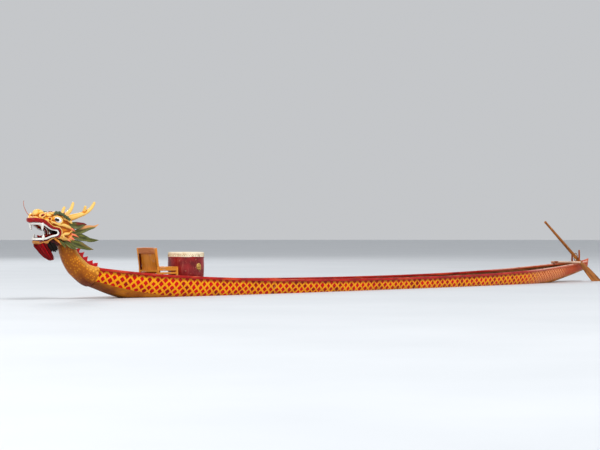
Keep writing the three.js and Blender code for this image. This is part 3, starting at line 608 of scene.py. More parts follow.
def lattice_paint(look):
    """Rows of painted diamonds. With p the place along a row in diamonds and q the place across in
    pairs of rows, both p + q and p - q are whole at each diamond's middle. Round it, the outline is
    where |p| * (3.2 + 4 q) + |q| * 2.75 is 1. The rows sink towards the stern over the last metre of
    the bow. Low down at the bow the side is plain ochre, and near the stern the pattern turns into
    fine worn scales."""
    paint = Paint("lattice_paint")
    phase, row = paint.uv()
    x, _, z = paint.axes()
    along = phase + (paint.noise(2.6, 2) - 0.5) * 0.3
    sink = x.ease(4.6, 6.2) * (x - 6.2) * 0.85
    elsewhere = paint.place((1, 1, 1), 7.3)
    across = row + 0.36 + sink + (paint.noise(3.4, 2, over=elsewhere) - 0.5) * 0.35
    diagonals = (along + across, along - across)
    left, right = ((way + 0.5).fraction() - 0.5 for way in diagonals)
    p = (left + right) * 0.5
    q = (left - right) * 0.5
    hand = (paint.noise(11, 3) - 0.5) * 0.75
    shape = abs(p) * (q * 4 + 3.2) + abs(q) * 2.75 + hand
    coats = paint.noise(6, 4)
    ridge_light = (1 - abs(shape - 1.3) * 6).larger(0) * 0.35
    # Painted shadow: a dark brown band along the top of the side, where the rail overhangs it.
    shadow_under_rail = row.ease(0.4, 0.2) * 0.5
    colour = paint.layers(
        look.gold_light, (coats.ease(0.3, 0.7), look.gold_deep), (ridge_light, srgb(255, 186, 40)),
        (1 - shape.ease(0.93, 1.07), paint.mix(coats.ease(0.4, 0.7), look.diamond, srgb(138, 0, 4))),
        (shadow_under_rail, srgb(120, 36, 0)))

    above = (z - 0.243) - (x - 6.45) * 0.2
    edge_line = (1 - abs(above) * 90).larger(0) * 0.6
    ochre = paint.layers(look.ochre, (coats.ease(0.4, 0.7), OCHRE_SHADE), (edge_line, srgb(96, 40, 8)))
    colour = paint.mix((above + (coats - 0.5) * 0.012).ease(-0.003, 0.003), ochre, colour)

    fine_left, fine_right = (abs((way * 1.5).fraction() - 0.5) for way in diagonals)
    net = fine_left.larger(fine_right).ease(0.3, 0.42) * (1 - x.ease(-5.6, -6.3))
    worn = paint.noise(4, 4).ease(0.5, 0.7) * 0.5
    scales = paint.layers(
        srgb(200, 72, 0), (net * 0.95, srgb(255, 174, 108)), (worn, srgb(182, 66, 4)))
    chips = paint.noise(26, 5, 0.6).ease(0.66, 0.72)
    damp = z.ease(0.09, -0.01) * paint.noise(5, 4, over=(1, 1, 3)).ease(0.3, 0.65)
    inside = paint.attribute("mark")
    colour = paint.layers(
        colour, (x.ease(-4.2, -5.2), scales), (chips * 0.5, srgb(214, 170, 110)),
        (damp * 0.45, srgb(92, 60, 24)), (inside, wood_tint(paint)))
    height = (1 - shape.ease(0.9, 1.1)) * (1 - inside) * 0.5 - chips * 0.4 + coats * 0.3
    return paint.done(colour, coats * 0.2 + 0.33 + inside * 0.2 - damp * 0.15, height, 0.0008)


def wood_tint(paint):
    """Oiled planks with grain along the boat, as a colour."""
    grain = paint.noise(3.0, 4, 0.6, over=(1.2, 9, 9))
    tint = paint.mix(grain.ease(0.3, 0.7), srgb(84, 46, 22), srgb(142, 88, 44))
    return paint.mix(paint.noise(1.6, 3).ease(0.45, 0.7) * 0.5, tint, srgb(60, 36, 20))


def bottom_paint(look):
    """Ochre enamel that darkens to a weedy brown below the water."""
    paint = Paint("ochre_paint", coat_weight=0.05, coat_roughness=0.35)
    x, _, z = paint.axes()
    coats = paint.noise(5, 5)
    grain = paint.noise(6, 3, over=(1, 7, 7))
    stem = (x * 0.5 - z).ease(2.88, 3.0) * x.ease(5.7, 6.0)
    weed = paint.noise(3.5, 5, over=(1, 1, 2.5))
    wet = (z + (weed - 0.5) * 0.09).ease(0.03, -0.05)
    colour = paint.layers(
        look.ochre, (coats.ease(0.4, 0.7), OCHRE_SHADE),
        (grain.ease(0.5, 0.75) * 0.4, srgb(112, 62, 14)), (stem * 0.75, srgb(92, 26, 6)),
        (wet * 0.72, paint.mix(weed, srgb(70, 52, 26), srgb(52, 62, 34))),
        (paint.attribute("mark"), wood_tint(paint)))
    return paint.done(colour, coats * 0.2 + 0.38, grain * 0.6 + weed * wet * 0.8, 0.001)


def rail_paint(look):
    """Red enamel, scuffed along its top, rubbed down to pinkish wood towards the stern. The paler top is
    partly this wear and partly a painted highlight.
    """
    paint = Paint("rail_paint", coat_weight=0.15, coat_roughness=0.25)
    x, _, _ = paint.axes()
    streaks = paint.noise(5, 4, 0.4, over=(1, 10, 10))
    coats = paint.noise(4, 4)
    faded = paint.noise(2, 2, over=(0.8, 4, 4)).ease(0.5, 0.66)
    top = paint.attribute("mark")
    # Pinkish streaks on the top face: partly scuffed paint, partly a painted highlight of the top
    # catching the light.
    scuffs = streaks.ease(0.56, 0.66) * top
    # Towards the stern the top turns pinkish white: partly rubbed wood, partly a painted highlight.
    pale = x.ease(-4.2, -5.1) * (top * 0.75 + 0.12) * streaks.ease(0.25, 0.5)
    brown = x.ease(-4.8, -5.6) * (1 - top)
    colour = paint.layers(
        look.rail, (coats.ease(0.35, 0.7), srgb(150, 14, 14)), (faded * 0.55, srgb(236, 88, 44)),
        (scuffs * 0.55, srgb(214, 130, 96)), (pale, srgb(248, 206, 182)),
        (brown * 0.8, srgb(214, 88, 20)))
    return paint.done(colour, coats * 0.2 + 0.3 + scuffs * 0.2, streaks * 0.5 - scuffs * 0.4, 0.0008)


# Building the hull

STATIONS = np.linspace(STERN_END, BOW_END, 260)
SEAM_DEGREES = 0.05


def at_stations(section):
    """Sections of breadth and height, one at each station, as rings of places."""
    x = np.broadcast_to(STATIONS[:, None, None], (*section.shape[:2], 1))
    return np.concatenate([x, section], 2)


def plank(low, high, side, steps=18):
    """A strake between two angles: out over the skin and back over the inside, with a map of
    diamonds along and pairs of rows down from the rail, and mark 1 on the inside."""
    top = high if high == RAIL_EDGE else high - SEAM_DEGREES
    angles = np.linspace(low + SEAM_DEGREES, top, steps)[None]
    x = STATIONS[:, None]
    outer = skin(x, angles)
    section = np.concatenate([outer, inner_skin(x, angles)[:, ::-1]], 1)
    rings = at_stations(section) * (1, side, 1)
    down = np.linalg.norm(np.diff(outer, axis=1), axis=2)[:, ::-1].cumsum(1)[:, ::-1]
    down = np.concatenate([down, np.zeros((len(x), 1))], 1)
    below = skin(x, np.linspace(high, 90, 20)[None])
    down = down + np.linalg.norm(np.diff(below, axis=1), axis=2).sum(1)[:, None]
    rows = np.concatenate([down, down[:, ::-1], down[:, :1]], 1) / np.interp(x, *LATTICE_ROWS.T)
    columns = np.broadcast_to(lattice_phase(x), rows.shape)
    mark = np.zeros(rings.shape[:2])
    mark[:, steps:] = 1
    return shell(rings, uv=np.stack([columns, rows], -1), mark=mark)


def keel_strake():
    """The plank on the centre line, from one edge over the middle to the other and back."""
    edge = KEEL_EDGE - SEAM_DEGREES
    angles = np.concatenate([np.linspace(edge, 0.4, 8), [0.0], np.linspace(0.4, edge, 8)])
    sides = np.concatenate([-np.ones(8), [0.0], np.ones(8)])
    x = STATIONS[:, None]
    outer = skin(x, angles[None]) * np.stack([sides, np.ones(17)], -1)
    inner = inner_skin(x, np.maximum(angles, 0.4)[None]) * np.stack([sides, np.ones(17)], -1)
    rings = at_stations(np.concatenate([outer, inner[:, ::-1]], 1))
    mark = np.zeros(rings.shape[:2])
    mark[:, 17:] = 1
    return shell(rings, mark=mark)


def gunwale(side):
    """The rounded rail along one side, with mark 1 on its upper half."""
    x = STATIONS[1:-1]
    middle = side * (line_of("half", x) + (RAIL_LIP - PLANK) / 2)
    height = line_of("rail", x) - RAIL_HEIGHT / 2
    bar = lengthwise(x, middle, (RAIL_LIP + PLANK) / 2, height, RAIL_HEIGHT / 2 - 0.0003, 0.011)
    level = np.interp(bar["points"][:, 0], x, height)
    bar["mark"] = np.clip((bar["points"][:, 2] - level) / 0.016, 0, 1)
    return bar


BENCH_PITCH = 0.755
BENCHES = 3.76 - BENCH_PITCH * np.arange(13)
BENCH_DEPTH = 0.19
BENCH_THICK = 0.028
BENCH_DROP = 0.08
TIMBERS = BENCHES[1:] + BENCH_PITCH / 2
FLOOR_WIDTH = 0.48
FLOOR_BOARDS = 4
FLOOR_RISE = 0.07
FLOOR_OVERHANG = 0.06
RISER_ENDS = (-5.42, 3.88)
RISER_WIDTH = 0.028
RISER_DEPTH = 0.045
# Decks: aft end, fore end, top and thickness.
DECKS = {
    "bow_deck": (5.95, 6.2597, 0.372, 0.02), "drum_deck": (4.06, 5.65, 0.07, 0.018),
    "steering_deck": (-6.3, -5.62, 0.15, 0.018),
}
DECK_BOARD = 0.15
CLEARANCE = 0.0015


def bench_top(x):
    return line_of("rail", x) - BENCH_DROP


def bench(place, tone):
    """A thwart: one board from side to side."""
    top = float(bench_top(place))
    ends = np.array([place - BENCH_DEPTH / 2, place + BENCH_DEPTH / 2])
    half = breadth_at(ends, top - BENCH_THICK).min() - CLEARANCE
    deep = BENCH_THICK / 2
    return crosswise(place, half, top - deep, BENCH_DEPTH / 2, deep, 0.006, tone=tone)


def deck(aft, fore, top, thick, tones):
    """Boards from side to side, each cut to the breadth inside the planks at both its edges."""
    count = round((fore - aft) / DECK_BOARD)
    edges = np.linspace(aft, fore, count + 1)
    parts = []
    for k in range(count):
        x = np.array([edges[k] + CLEARANCE, edges[k + 1] - CLEARANCE])
        half = breadth_at(x, top - thick) - CLEARANCE
        tone = tones[k % len(BENCHES)]
        parts.append(lengthwise(x, 0, half, top - thick / 2, thick / 2, 0.003, tone=tone))
    return parts


def floor_boards(tones):
    """Long boards over the floor timbers, straight from one timber to the next."""
    low = inner_skin(TIMBERS, np.full(len(TIMBERS), 0.2))[:, 1] + FLOOR_RISE
    x = np.concatenate(
        [[TIMBERS[-1] - FLOOR_OVERHANG], TIMBERS[::-1], [TIMBERS[0] + FLOOR_OVERHANG]])
    run = np.polyfit(TIMBERS[-2:], low[-2:], 1), np.polyfit(TIMBERS[:2], low[:2], 1)
    height = np.concatenate([[np.polyval(run[0], x[0])], low[::-1], [np.polyval(run[1], x[-1])]])
    width = FLOOR_WIDTH / FLOOR_BOARDS
    return [
        lengthwise(x, width * (k + 0.5) - FLOOR_WIDTH / 2, width / 2 - 0.002, height + 0.0078, 0.0072,
                   0.003, tone=tones[k])
        for k in range(FLOOR_BOARDS)
    ]


def riser(side):
    """The stringer that the benches rest on."""
    x = np.linspace(*RISER_ENDS, 60)
    top = bench_top(x) - BENCH_THICK - 0.0005
    wide, deep = RISER_WIDTH / 2, RISER_DEPTH / 2
    outer = breadth_at(x, top - RISER_DEPTH) - CLEARANCE
    return lengthwise(x, side * (outer - wide), wide, top - deep, deep, 0.004, tone=0.3)


# The upturned tip behind the stern: x, z, half width and half height.
BEAK = metres([
    (-7101, 385, 109, 39.5), (-7160, 402, 85, 28), (-7220, 428, 50, 16), (-7285, 459, 13, 7.5),
])


def middle_bar(rows, sides, **more):
    """A bar on the centreplane through rows of x, z, half width and half height."""
    path = np.column_stack([rows[:, 0], np.zeros(len(rows)), rows[:, 1]])
    return sweep(path, rows[:, 2], rows[:, 3], sides, **more)


def stern_beak():
    return middle_bar(smooth(BEAK, 24), 28, power=3.6, ends="flat")


# Dragon's neck and head

NECK = [
    (6.478, 0.332), (6.53, 0.352), (6.61, 0.4), (6.73, 0.488), (6.822, 0.582), (6.884, 0.675),
    (6.925, 0.78), (6.945, 0.9), (6.95, 0.985),
]
NECK_RADIUS = np.array([[0.0, 0.155], [0.35, 0.154], [0.5, 0.144], [0.65, 0.133], [1.0, 0.128]])
SETBACK = 0.1
COLLAR = 0.009


def neck_line(count):
    """Places along the neck's middle line in the plane of symmetry, evenly spaced."""
    rows = smooth(NECK, 600)
    way = np.append(0, np.cumsum(np.linalg.norm(np.diff(rows, axis=0), axis=1)))
    even = np.linspace(0, way[-1], count)
    return np.stack([np.interp(even, way, rows[:, k]) for k in range(2)], 1)


def bow_outline(turns):
    """The hull's section where the neck meets it, as a radius at each turn about the middle line:
    the skin and a crowned top, a collar's thickness outside."""
    side = skin(np.full(40, BOW_END), np.linspace(1, 90, 40))
    half = float(line_of("half", BOW_END))
    top = float(line_of("rail", BOW_END))
    rail = [(half * 0.95, top - 0.02), (half * 0.6, top + 0.002), (0.0, top + 0.008)]
    outline = np.vstack([side, rail]) - (0, NECK[0][1])
    turn = np.arctan2(outline[:, 1], outline[:, 0])
    reach = np.linalg.norm(outline, axis=1) + COLLAR
    order = np.argsort(turn)
    port = np.where(np.cos(turns) < 0, math.pi - turns, turns)
    port = (port + math.pi) % (2 * math.pi) - math.pi
    return np.interp(port, turn[order], reach[order])


def neck_rings(count=110, sides=72):
    """Rings square to the neck's line. A ring is the bow's outline at the foot and a circle of the
    tabled radius from a quarter of the way up, with a smooth blend. Near the foot the top of a ring
    is set back over the fore deck by the setback times sin(turn) ** 1.5, and that fades upwards."""
    line = neck_line(count)
    turns = turns_of(sides)
    share = np.linspace(0, 1, count)
    blend = np.clip(share / 0.25, 0, 1)
    blend = (blend * blend * (3 - 2 * blend))[:, None]
    circle = np.interp(share, *NECK_RADIUS.T)[:, None]
    radius = bow_outline(turns)[None] * (1 - blend) + circle * blend
    edge = np.array([(0.012, 0.05), (0.0, 0.5), (0.0, 0.93), (0.003, 0.965), (0.009, 0.99)])
    extra = len(edge)
    radius = np.vstack([radius[:1] * edge[:, 1:], radius])
    tangent = unit(np.gradient(line, axis=0))
    tangent = np.vstack([tangent[:1]] * extra + [tangent])
    line = np.vstack([line[:1] + np.column_stack([edge[:, 0] - 0.014, np.zeros(extra)]), line])
    fade = np.concatenate([edge[:, 1] ** 2, np.clip(1 - share / 0.2, 0, 1) ** 2])[:, None]
    back = SETBACK * np.maximum(np.sin(turns), 0) ** 1.5 * fade
    rise = radius * np.sin(turns)
    return np.stack([
        line[:, :1] - tangent[:, 1:] * rise - tangent[:, :1] * back, radius * np.cos(turns),
        line[:, 1:] + tangent[:, :1] * rise - tangent[:, 1:] * back * 0.3], -1)


def neck_skin():
    """The neck's shell, with mark 1 along its back and 0 along its throat."""
    rings = neck_rings()
    turns = turns_of(rings.shape[1])
    return shell(rings, mark=np.broadcast_to(0.5 + 0.5 * np.sin(turns), rings.shape[:2]))


# Tips of the crest's spikes in the plane of symmetry, from the head down.
SPIKE_TIPS = np.array([(6.655, 0.775), (6.582, 0.716), (6.512, 0.648), (6.422, 0.588), (6.31, 0.55)])
CREST_RINGS = (76, 4)
CREST_ROOT = -0.03
SPIKE_PEAK = 0.72


def crest_skin():
    """A thin ridge along the back of the neck with hooked spikes. At a share s along the ridge it
    stands 0.044 off the skin, and w ** 1.4 of the way from there to the spike's tip, where w runs
    from 0 to 1 within each spike and back to 0 in its last quarter."""
    spine = neck_rings()[:, 18, ::2][CREST_RINGS[0]:CREST_RINGS[1]:-1]
    way = np.append(0, np.cumsum(np.linalg.norm(np.diff(spine, axis=0), axis=1)))
    apart = np.linalg.norm(SPIKE_TIPS[:, None] - spine, axis=2)
    feet = way[apart.argmin(1)] / way[-1]
    count = len(feet)
    steps = count * 24 + 1
    share = np.linspace(0, 1, steps)
    line = np.stack([np.interp(share * way[-1], way, spine[:, k]) for k in range(2)], 1)
    along = unit(np.gradient(line, axis=0))
    back = np.stack([along[:, 1], -along[:, 0]], 1)
    back *= np.sign(back[:, 1:])
    stops = np.concatenate([[2 * feet[0] - feet[1]], feet, [2 * feet[-1] - feet[-2]]])
    spike = np.interp(share, stops, np.arange(-1, count + 1) + SPIKE_PEAK)
    within = spike % 1
    wave = np.where(within < SPIKE_PEAK, within / SPIKE_PEAK, (1 - within) / (1 - SPIKE_PEAK))
    wave *= (spike >= 0) & (spike <= count)
    wave[[0, -1]] = 0
    taper = np.clip(np.minimum(share, 1 - share) * 14, 0, 1)
    tall = np.interp(share, feet, apart.min(1))
    base = 0.002 + 0.042 * taper
    top = base + (tall + 0.006 - base) * wave ** 1.4
    level = np.array([0, 0.5, 0.75, 0.9, 1, 0.9, 0.75, 0.5, 0])
    thick = np.array([1, 1, 0.85, 0.6, 0, -0.6, -0.85, -1, -1])
    reach = CREST_ROOT + (top[:, None] - CREST_ROOT) * level
    lean = 0.006 * (wave ** 2)[:, None] * np.clip(reach / 0.09, 0, 1)
    half = (0.017 - 0.008 * wave)[:, None] * thick
    place = beside(line, back, along, reach, lean)
    return shell(np.stack([place[..., 0], half, place[..., 1]], -1))


# Sections of the upper head: place, low edge, high edge, half breadth.
SKULL = metres([
    (6830, 930, 1130, 70), (6870, 870, 1180, 115), (6950, 850, 1225, 130), (7050, 865, 1255, 142),
    (7140, 935, 1270, 145), (7220, 1035, 1285, 145), (7300, 1078, 1268, 140),
    (7390, 1120, 1258, 138), (7470, 1147, 1262, 140), (7535, 1162, 1258, 133),
    (7585, 1170, 1244, 106), (7618, 1180, 1228, 64), (7630, 1190, 1215, 28),
])
# Sections of the lower jaw, in the same columns.
JAW = metres([
    (7020, 885, 955, 100), (7120, 908, 958, 124), (7200, 918, 955, 130), (7280, 906, 950, 126),
    (7340, 872, 938, 120), (7385, 836, 922, 117), (7430, 827, 912, 112), (7490, 832, 904, 94),
    (7540, 846, 899, 66), (7572, 862, 891, 22),
])


def carving(sections, power=2.5, count=60, sides=40):
    """A closed form through sections of place, low edge, high edge and half breadth. Round a
    section the outline is a rounded square of the given power."""
    place, low, top, half = smooth(sections, count).T[..., None]
    out, rise = squared_ring(sides, power)
    rings = np.broadcast_arrays(place, half * out, (low + top) / 2 + (top - low) / 2 * rise)
    return shell(np.stack(rings, -1))


# Lumps of the carving on each side: place and three radii along x, y and z.
LUMPS = metres([
    ((7490, 0, 1284), (88, 75, 73)), ((7460, 35, 1272), (60, 60, 60)),
    ((7475, 0, 1283), (78, 102, 69)), ((7450, 62, 1258), (62, 55, 50)),
    ((7505, 112, 1258), (50, 34, 36)), ((7572, 55, 1222), (52, 64, 26)),
    ((7510, 118, 1205), (62, 30, 24)), ((7430, 126, 1188), (65, 26, 28)),
    ((7360, 60, 1258), (70, 62, 36)), ((7330, 0, 1280), (60, 36, 28)),
    ((7280, 45, 1282), (60, 50, 30)), ((7200, 40, 1290), (60, 50, 30)),
    ((7120, 50, 1280), (70, 60, 32)), ((7215, 110, 1195), (96, 46, 70)),
    ((7050, 100, 1215), (80, 60, 45)), ((6970, 85, 1195), (60, 50, 45)),
    ((7300, 130, 1155), (80, 24, 26)), ((6960, 112, 905), (52, 46, 36)),
])
JAW_LUMPS = metres([
    ((7490, 50, 856), (50, 50, 22)), ((7400, 84, 862), (50, 34, 22)),
])
# Carved folds of the cheek, each a bar of x, y, z and radius that curls round the mouth's corner.
FOLDS = [
    metres([
        (7345, 145, 1168, 12), (7281, 149, 1148, 14), (7198, 150, 1124, 19), (7152, 150, 1121, 22),
        (7101, 150, 1114, 27), (7054, 147, 1100, 26), (7005, 141, 1086, 23), (6962, 134, 1063, 21),
        (6950, 131, 1036, 19), (6972, 134, 1014, 12),
    ]),
    metres([
        (7410, 147, 1158, 12), (7360, 150, 1122, 12), (7310, 153, 1094, 12), (7248, 155, 1090, 12),
        (7205, 156, 1081, 12), (7172, 156, 1058, 12), (7157, 156, 1028, 12), (7154, 155, 1000, 12),
        (7162, 152, 966, 13), (7178, 146, 940, 13), (7205, 138, 922, 11),
    ]),
    metres([
        (7124, 144, 972, 14), (7089, 148, 986, 23), (7050, 147, 988, 23), (7013, 143, 992, 18),
        (6990, 138, 1004, 9),
    ]),
    metres([
        (7135, 146, 965, 10), (7122, 144, 945, 21), (7090, 139, 930, 18), (7055, 134, 926, 10),
    ]),
    metres([
        (6952, 126, 1036, 14), (6921, 122, 1011, 21), (6913, 120, 989, 22), (6926, 120, 967, 21),
        (6960, 122, 950, 18), (6998, 125, 945, 10),
    ]),
    metres([
        (7190, 140, 928, 12), (7156, 138, 922, 16), (7104, 133, 912, 20), (7048, 128, 904, 21),
        (6999, 123, 908, 20), (6959, 118, 920, 13),
    ]),
    metres([
        (7060, 138, 1200, 10), (7000, 136, 1178, 20), (6950, 128, 1150, 24), (6925, 120, 1115, 22),
        (6905, 112, 1070, 16),
    ]),
]
# Lines of the mouth on the port side, from the front over the corner: the upper red lip, and the
# white gum inside it.
LIP = metres([
    (7640, 0, 1190), (7630, 50, 1194), (7600, 98, 1195), (7550, 133, 1186), (7500, 147, 1174),
    (7455, 151, 1156), (7415, 152, 1132), (7378, 153, 1107), (7335, 155, 1083), (7300, 157, 1073),
    (7262, 159, 1070), (7228, 161, 1063), (7202, 162, 1046), (7188, 162, 1026), (7184, 162, 1001),
    (7189, 160, 976), (7202, 156, 954), (7230, 150, 940), (7265, 144, 934),
])
GUM = metres([
    (7615, 0, 1142), (7600, 50, 1142), (7570, 92, 1141), (7530, 122, 1138), (7480, 134, 1129),
    (7430, 138, 1102), (7385, 140, 1075), (7340, 144, 1056), (7290, 149, 1048), (7245, 153, 1038),
    (7222, 154, 1010), (7224, 152, 985), (7250, 147, 968), (7285, 138, 960), (7330, 128, 950),
    (7375, 120, 934), (7420, 114, 919), (7480, 100, 911), (7530, 70, 910), (7556, 35, 909),
    (7562, 0, 909),
])
GUM_CORNER = 10
TONGUE = metres([
    (7120, 0, 972, 50), (7220, 0, 976, 55), (7320, 0, 964, 55), (7410, 0, 944, 50),
    (7465, 0, 950, 34), (7488, 0, 962, 14),
])
FANGS = {
    "upper": metres([
        (7506, 132, 1152, 22), (7509, 134, 1105, 21), (7508, 131, 1070, 16), (7503, 127, 1045, 8),
    ]),
    "lower": metres([
        (7472, 106, 912, 21), (7471, 109, 938, 20), (7468, 107, 960, 15), (7465, 105, 976, 8),
    ]),
}
NOSTRIL = (7.513, 0.14, 1.262)
NOSTRIL_FACING = (0.45, 0.89, 0.1)
NOSTRIL_LONG = unit(np.array([-0.9, 0.4, 0.46]))
EYE = np.array([7.228, 0.14, 1.194])
EYE_FACING = unit(np.array([0.52, 0.84, 0.06]))
EYE_LONG = unit(np.cross(EYE_FACING, (-0.28, 0.17, 1.0)))
EYE_RADII = np.array([0.04, 0.069, 0.044])
GAZE = unit(np.array([1.0, 0.16, 0.1]))
# Carved rims of hollows in the nose: centre, two radii and thickness.
RIMS = [(NOSTRIL, (0.045, 0.026), 0.011), ((7.373, 0.136, 1.208), (0.031, 0.026), 0.008)]
NOSTRIL_HOLLOW = np.add(NOSTRIL, (0.0055, 0.011, 0.002))
# Spots of red on each side of the head, as place and radii, and the red crease of the cheek.
RED_SPOTS = metres([
    ((7373, 140, 1208), (20, 13, 18)), ((7245, 20, 1315), (20, 14, 8)),
    ((7420, 110, 1235), (14, 14, 9)),
])
RED_CREASE = metres([
    (7345, 147, 1163, 3), (7305, 151, 1137, 4.5), (7262, 156, 1120, 3),
])
# Half height of the upper lip, by the share of the way from its front to its corner.
LIP_HEIGHT = [[0, 0.22, 0.36, 0.5, 0.62, 0.9, 1], [0.034, 0.031, 0.025, 0.021, 0.0135, 0.011, 0.005]]
HEAD_VOXEL = 0.0065


def ellipse(centre, facing, long, radii, count=40):
    """A closed ring of places: the centre plus radii times cos t along one axis and sin t along
    the other."""
    t = np.linspace(0, 2 * math.pi, count, endpoint=False)[:, None]
    high = np.cross(facing, long)
    return centre + long * radii[0] * np.cos(t) + high * radii[1] * np.sin(t)


def both_sides(line):
    """A line on the port side that starts on the centreplane, carried over to starboard."""
    line = np.asarray(line, float)
    return np.vstack([line[::-1], line[1:] * (1, -1, 1)])


def mirrored(vector, side):
    return np.asarray(vector, float) * (1, side, 1)


def lumps(rows, side, sides):
    """Ellipsoids on one side of the head, from rows of place and radii."""
    return [ball(mirrored(place, side), radii, sides) for place, radii in rows]


def upper_head():
    """The skull with its lumps, eye sockets, lids, folds and rims on both sides."""
    parts = [carving(SKULL)]
    for side in BOTH:
        parts += lumps(LUMPS, side, 20)
        centre, facing, long = (mirrored(row, side) for row in (EYE, EYE_FACING, EYE_LONG))
        socket = ellipse(centre + facing * 0.006, facing, long, (0.075, 0.052))
        parts.append(sweep(socket, 0.011, 0.0125, 10, guide=facing, loop=True))
        lid = ellipse(centre + facing * 0.016, facing, long, (0.072, 0.05))
        over = [point for point in np.roll(lid, 10, 0)[:30] if point[2] > centre[2] - 0.012]
        parts.append(sweep(over, 0.013, 0.011, 10, guide=facing))
        parts += [limb(fold, 60, side, sides=14) for fold in FOLDS]
        facing, long = (mirrored(row, side) for row in (NOSTRIL_FACING, NOSTRIL_LONG))
        for place, radii, thick in RIMS:
            rim = ellipse(mirrored(place, side), unit(facing), long, radii)
            parts.append(sweep(rim, thick, thick, 10, guide=facing, loop=True))
    return parts


def lower_jaw():
    return [carving(JAW, 2.3), *(lump for side in BOTH for lump in lumps(JAW_LUMPS, side, 18))]


def upper_lip():
    """The red lip from one corner of the mouth round the front to the other."""
    rows = smooth(both_sides(LIP), 160)
    high = np.interp(np.abs(np.linspace(-1, 1, len(rows))), *LIP_HEIGHT)
    return sweep(rows, 0.017, high, 16, guide=outward_of(rows))


def red_marks():
    """Red enamel in the nostrils, in the hollows of the nose and in the crease of each cheek."""
    marks = []
    for side in BOTH:
        facing = unit(mirrored(NOSTRIL_FACING, side))
        long = unit(np.cross(np.cross(facing, mirrored(NOSTRIL_LONG, side)), facing))
        axes = (facing, long, np.cross(facing, long))
        marks.append(ball(mirrored(NOSTRIL, side), (0.019, 0.034, 0.018), 20, axes))
        marks += lumps(RED_SPOTS, side, 12)
        marks.append(limb(RED_CREASE, 14, side, sides=8))
    return marks


def grooved_tongue():
    """A flat bar through the tongue's stops, with a groove down its upper side that is
    6 mm * exp(-(y / 12 mm) ** 2) deep."""
    rows = smooth(TONGUE, 40)
    tongue = sweep(rows[:, :3], rows[:, 3], 0.013, 24, power=2.4)
    x, y, z = tongue["points"].T
    upper = z > np.interp(x, rows[:, 0], rows[:, 2])
    tongue["points"][:, 2] -= np.exp(-(y / 0.012) ** 2) * 0.006 * upper
    return tongue


def outward_of(rows):
    """Directions out of the head at each place of a line round the mouth."""
    out = unit(rows * (0, 1, 0) + (1e-6, 0, 0))
    front = np.clip((rows[:, 0] - 7.45) / 0.13, 0, 1)[:, None]
    return unit(out * (1 - front ** 2) + np.array([1.0, 0, 0]) * front)


def gum_line(line, radius):
    rows = smooth(both_sides(line), 120)
    return sweep(rows, radius * 0.75, radius, 12, guide=outward_of(rows))


def eyeball(side):
    """An ellipsoid whose mark is the angle from where the eye looks, a little ahead of its middle,
    as a share of a half turn: arccos of the product of the two directions, over pi."""
    centre, facing, long = (mirrored(row, side) for row in (EYE, EYE_FACING, EYE_LONG))
    axes = (facing, long, np.cross(facing, long))
    part = ball(centre, EYE_RADII, 48, axes)
    reach = (part["points"] - centre) @ np.stack(axes).T / EYE_RADII
    part["mark"] = np.arccos(np.clip(unit(reach) @ GAZE, -1, 1)) / math.pi
    return part


def brow(side):
    """A bar over the eye that swells and narrows along its line, set with two rows of knobs."""
    rows = smooth(BROW, 40) * (1, side, 1)
    swell = 0.013 + 0.0045 * np.abs(np.sin(np.linspace(0, 8 * math.pi, 40)))
    swell *= np.interp(np.linspace(0, 1, 40), [0, 0.1, 0.85, 1], [0.6, 1, 1, 0.55])
    parts = [sweep(rows, swell * 1.35, swell * 1.4, 14, guide=(0, 0, 1))]
    for k, share in enumerate(np.linspace(0.06, 0.94, 9)):
        place = rows[int(share * 39)] + (0, side * 0.006, 0.012 if k % 2 else -0.006)
        parts.append(ball(place, (0.021, 0.0175, 0.02), 14))
    return parts


def mouth_share(points, normals):
    """1 inside the mouth: between the jaws, on faces that look into the gap."""
    x, y, z = points.T
    middle = np.interp(x, [7.1, 7.2, 7.3, 7.45, 7.6], [1.0, 0.99, 1.0, 1.02, 1.03])
    toward = np.sign(middle - z) * normals[:, 2]
    depth = np.interp(x, [7.1, 7.16, 7.6], [0, 1, 1])
    inside = np.interp(np.abs(y), [0.112, 0.13], [1, 0])
    facing = np.interp(toward, [0.15, 0.4], [0, 1])
    back = np.interp(normals[:, 0], [0.35, 0.6], [0, 1]) * np.interp(x, [7.2, 7.24], [1, 0])
    within = np.interp(np.abs(z - 0.99), [0.06, 0.075], [1, 0])
    return depth * inside * np.maximum(facing, back * within)


def carved(name, parts, voxel, rounds, material, replaces, slot):
    """Shells melted into one piece, with its hollows in tone and the inside of the mouth in mark."""
    mesh = fuse(parts, voxel, rounds)
    mark_hollows(mesh)
    store(mesh, "mark", mouth_share(*places_of(mesh)))
    return show(name, mesh, material, replaces, slot, crease=80)


def head_paint(look, name="head_paint"):
    """Gold lacquer over carved wood, with orange in the hollows and browner lower down as painted shade,
    and pale gold on the ridges as a painted highlight. Inside the mouth it is dark red at the front
    and black at the back, the black standing for the shade deep inside."""
    paint = Paint(name, coat_weight=0.15, coat_roughness=0.25)
    x, _, z = paint.axes()
    hollow = paint.attribute("tone")
    coats = paint.noise(14, 4)
    # Darker specks in the hollows.
    hollow_specks = paint.noise(30, 4).ease(0.55, 0.7) * hollow.ease(0.5, 0.7)
    # Inside the mouth: dark red paint at the front, darkening to black at the back as painted shade.
    mouth = paint.mix(x.ease(7.34, 7.24), srgb(104, 8, 10), srgb(10, 4, 4))
    colour = paint.layers(
        look.gold, (coats.ease(0.35, 0.7), look.gold_shade),
        # Painted shade: orange in the hollows. Painted highlight: pale gold on the ridges.
        (hollow.ease(0.5, 0.7) * 0.9, srgb(166, 74, 2)), (hollow.ease(0.47, 0.3) * 0.8, look.gold_ridge_highlight),
        # Painted shade: browner towards the bottom of the head and on the jaw.
        (z.ease(0.98, 0.85) * 0.75, srgb(166, 80, 2)),
        (hollow_specks * 0.6, srgb(110, 36, 10)), (paint.attribute("mark"), mouth))
    return paint.done(colour, coats * 0.25 + 0.28, coats * 0.6 + paint.noise(60, 2) * 0.4, 0.0012)


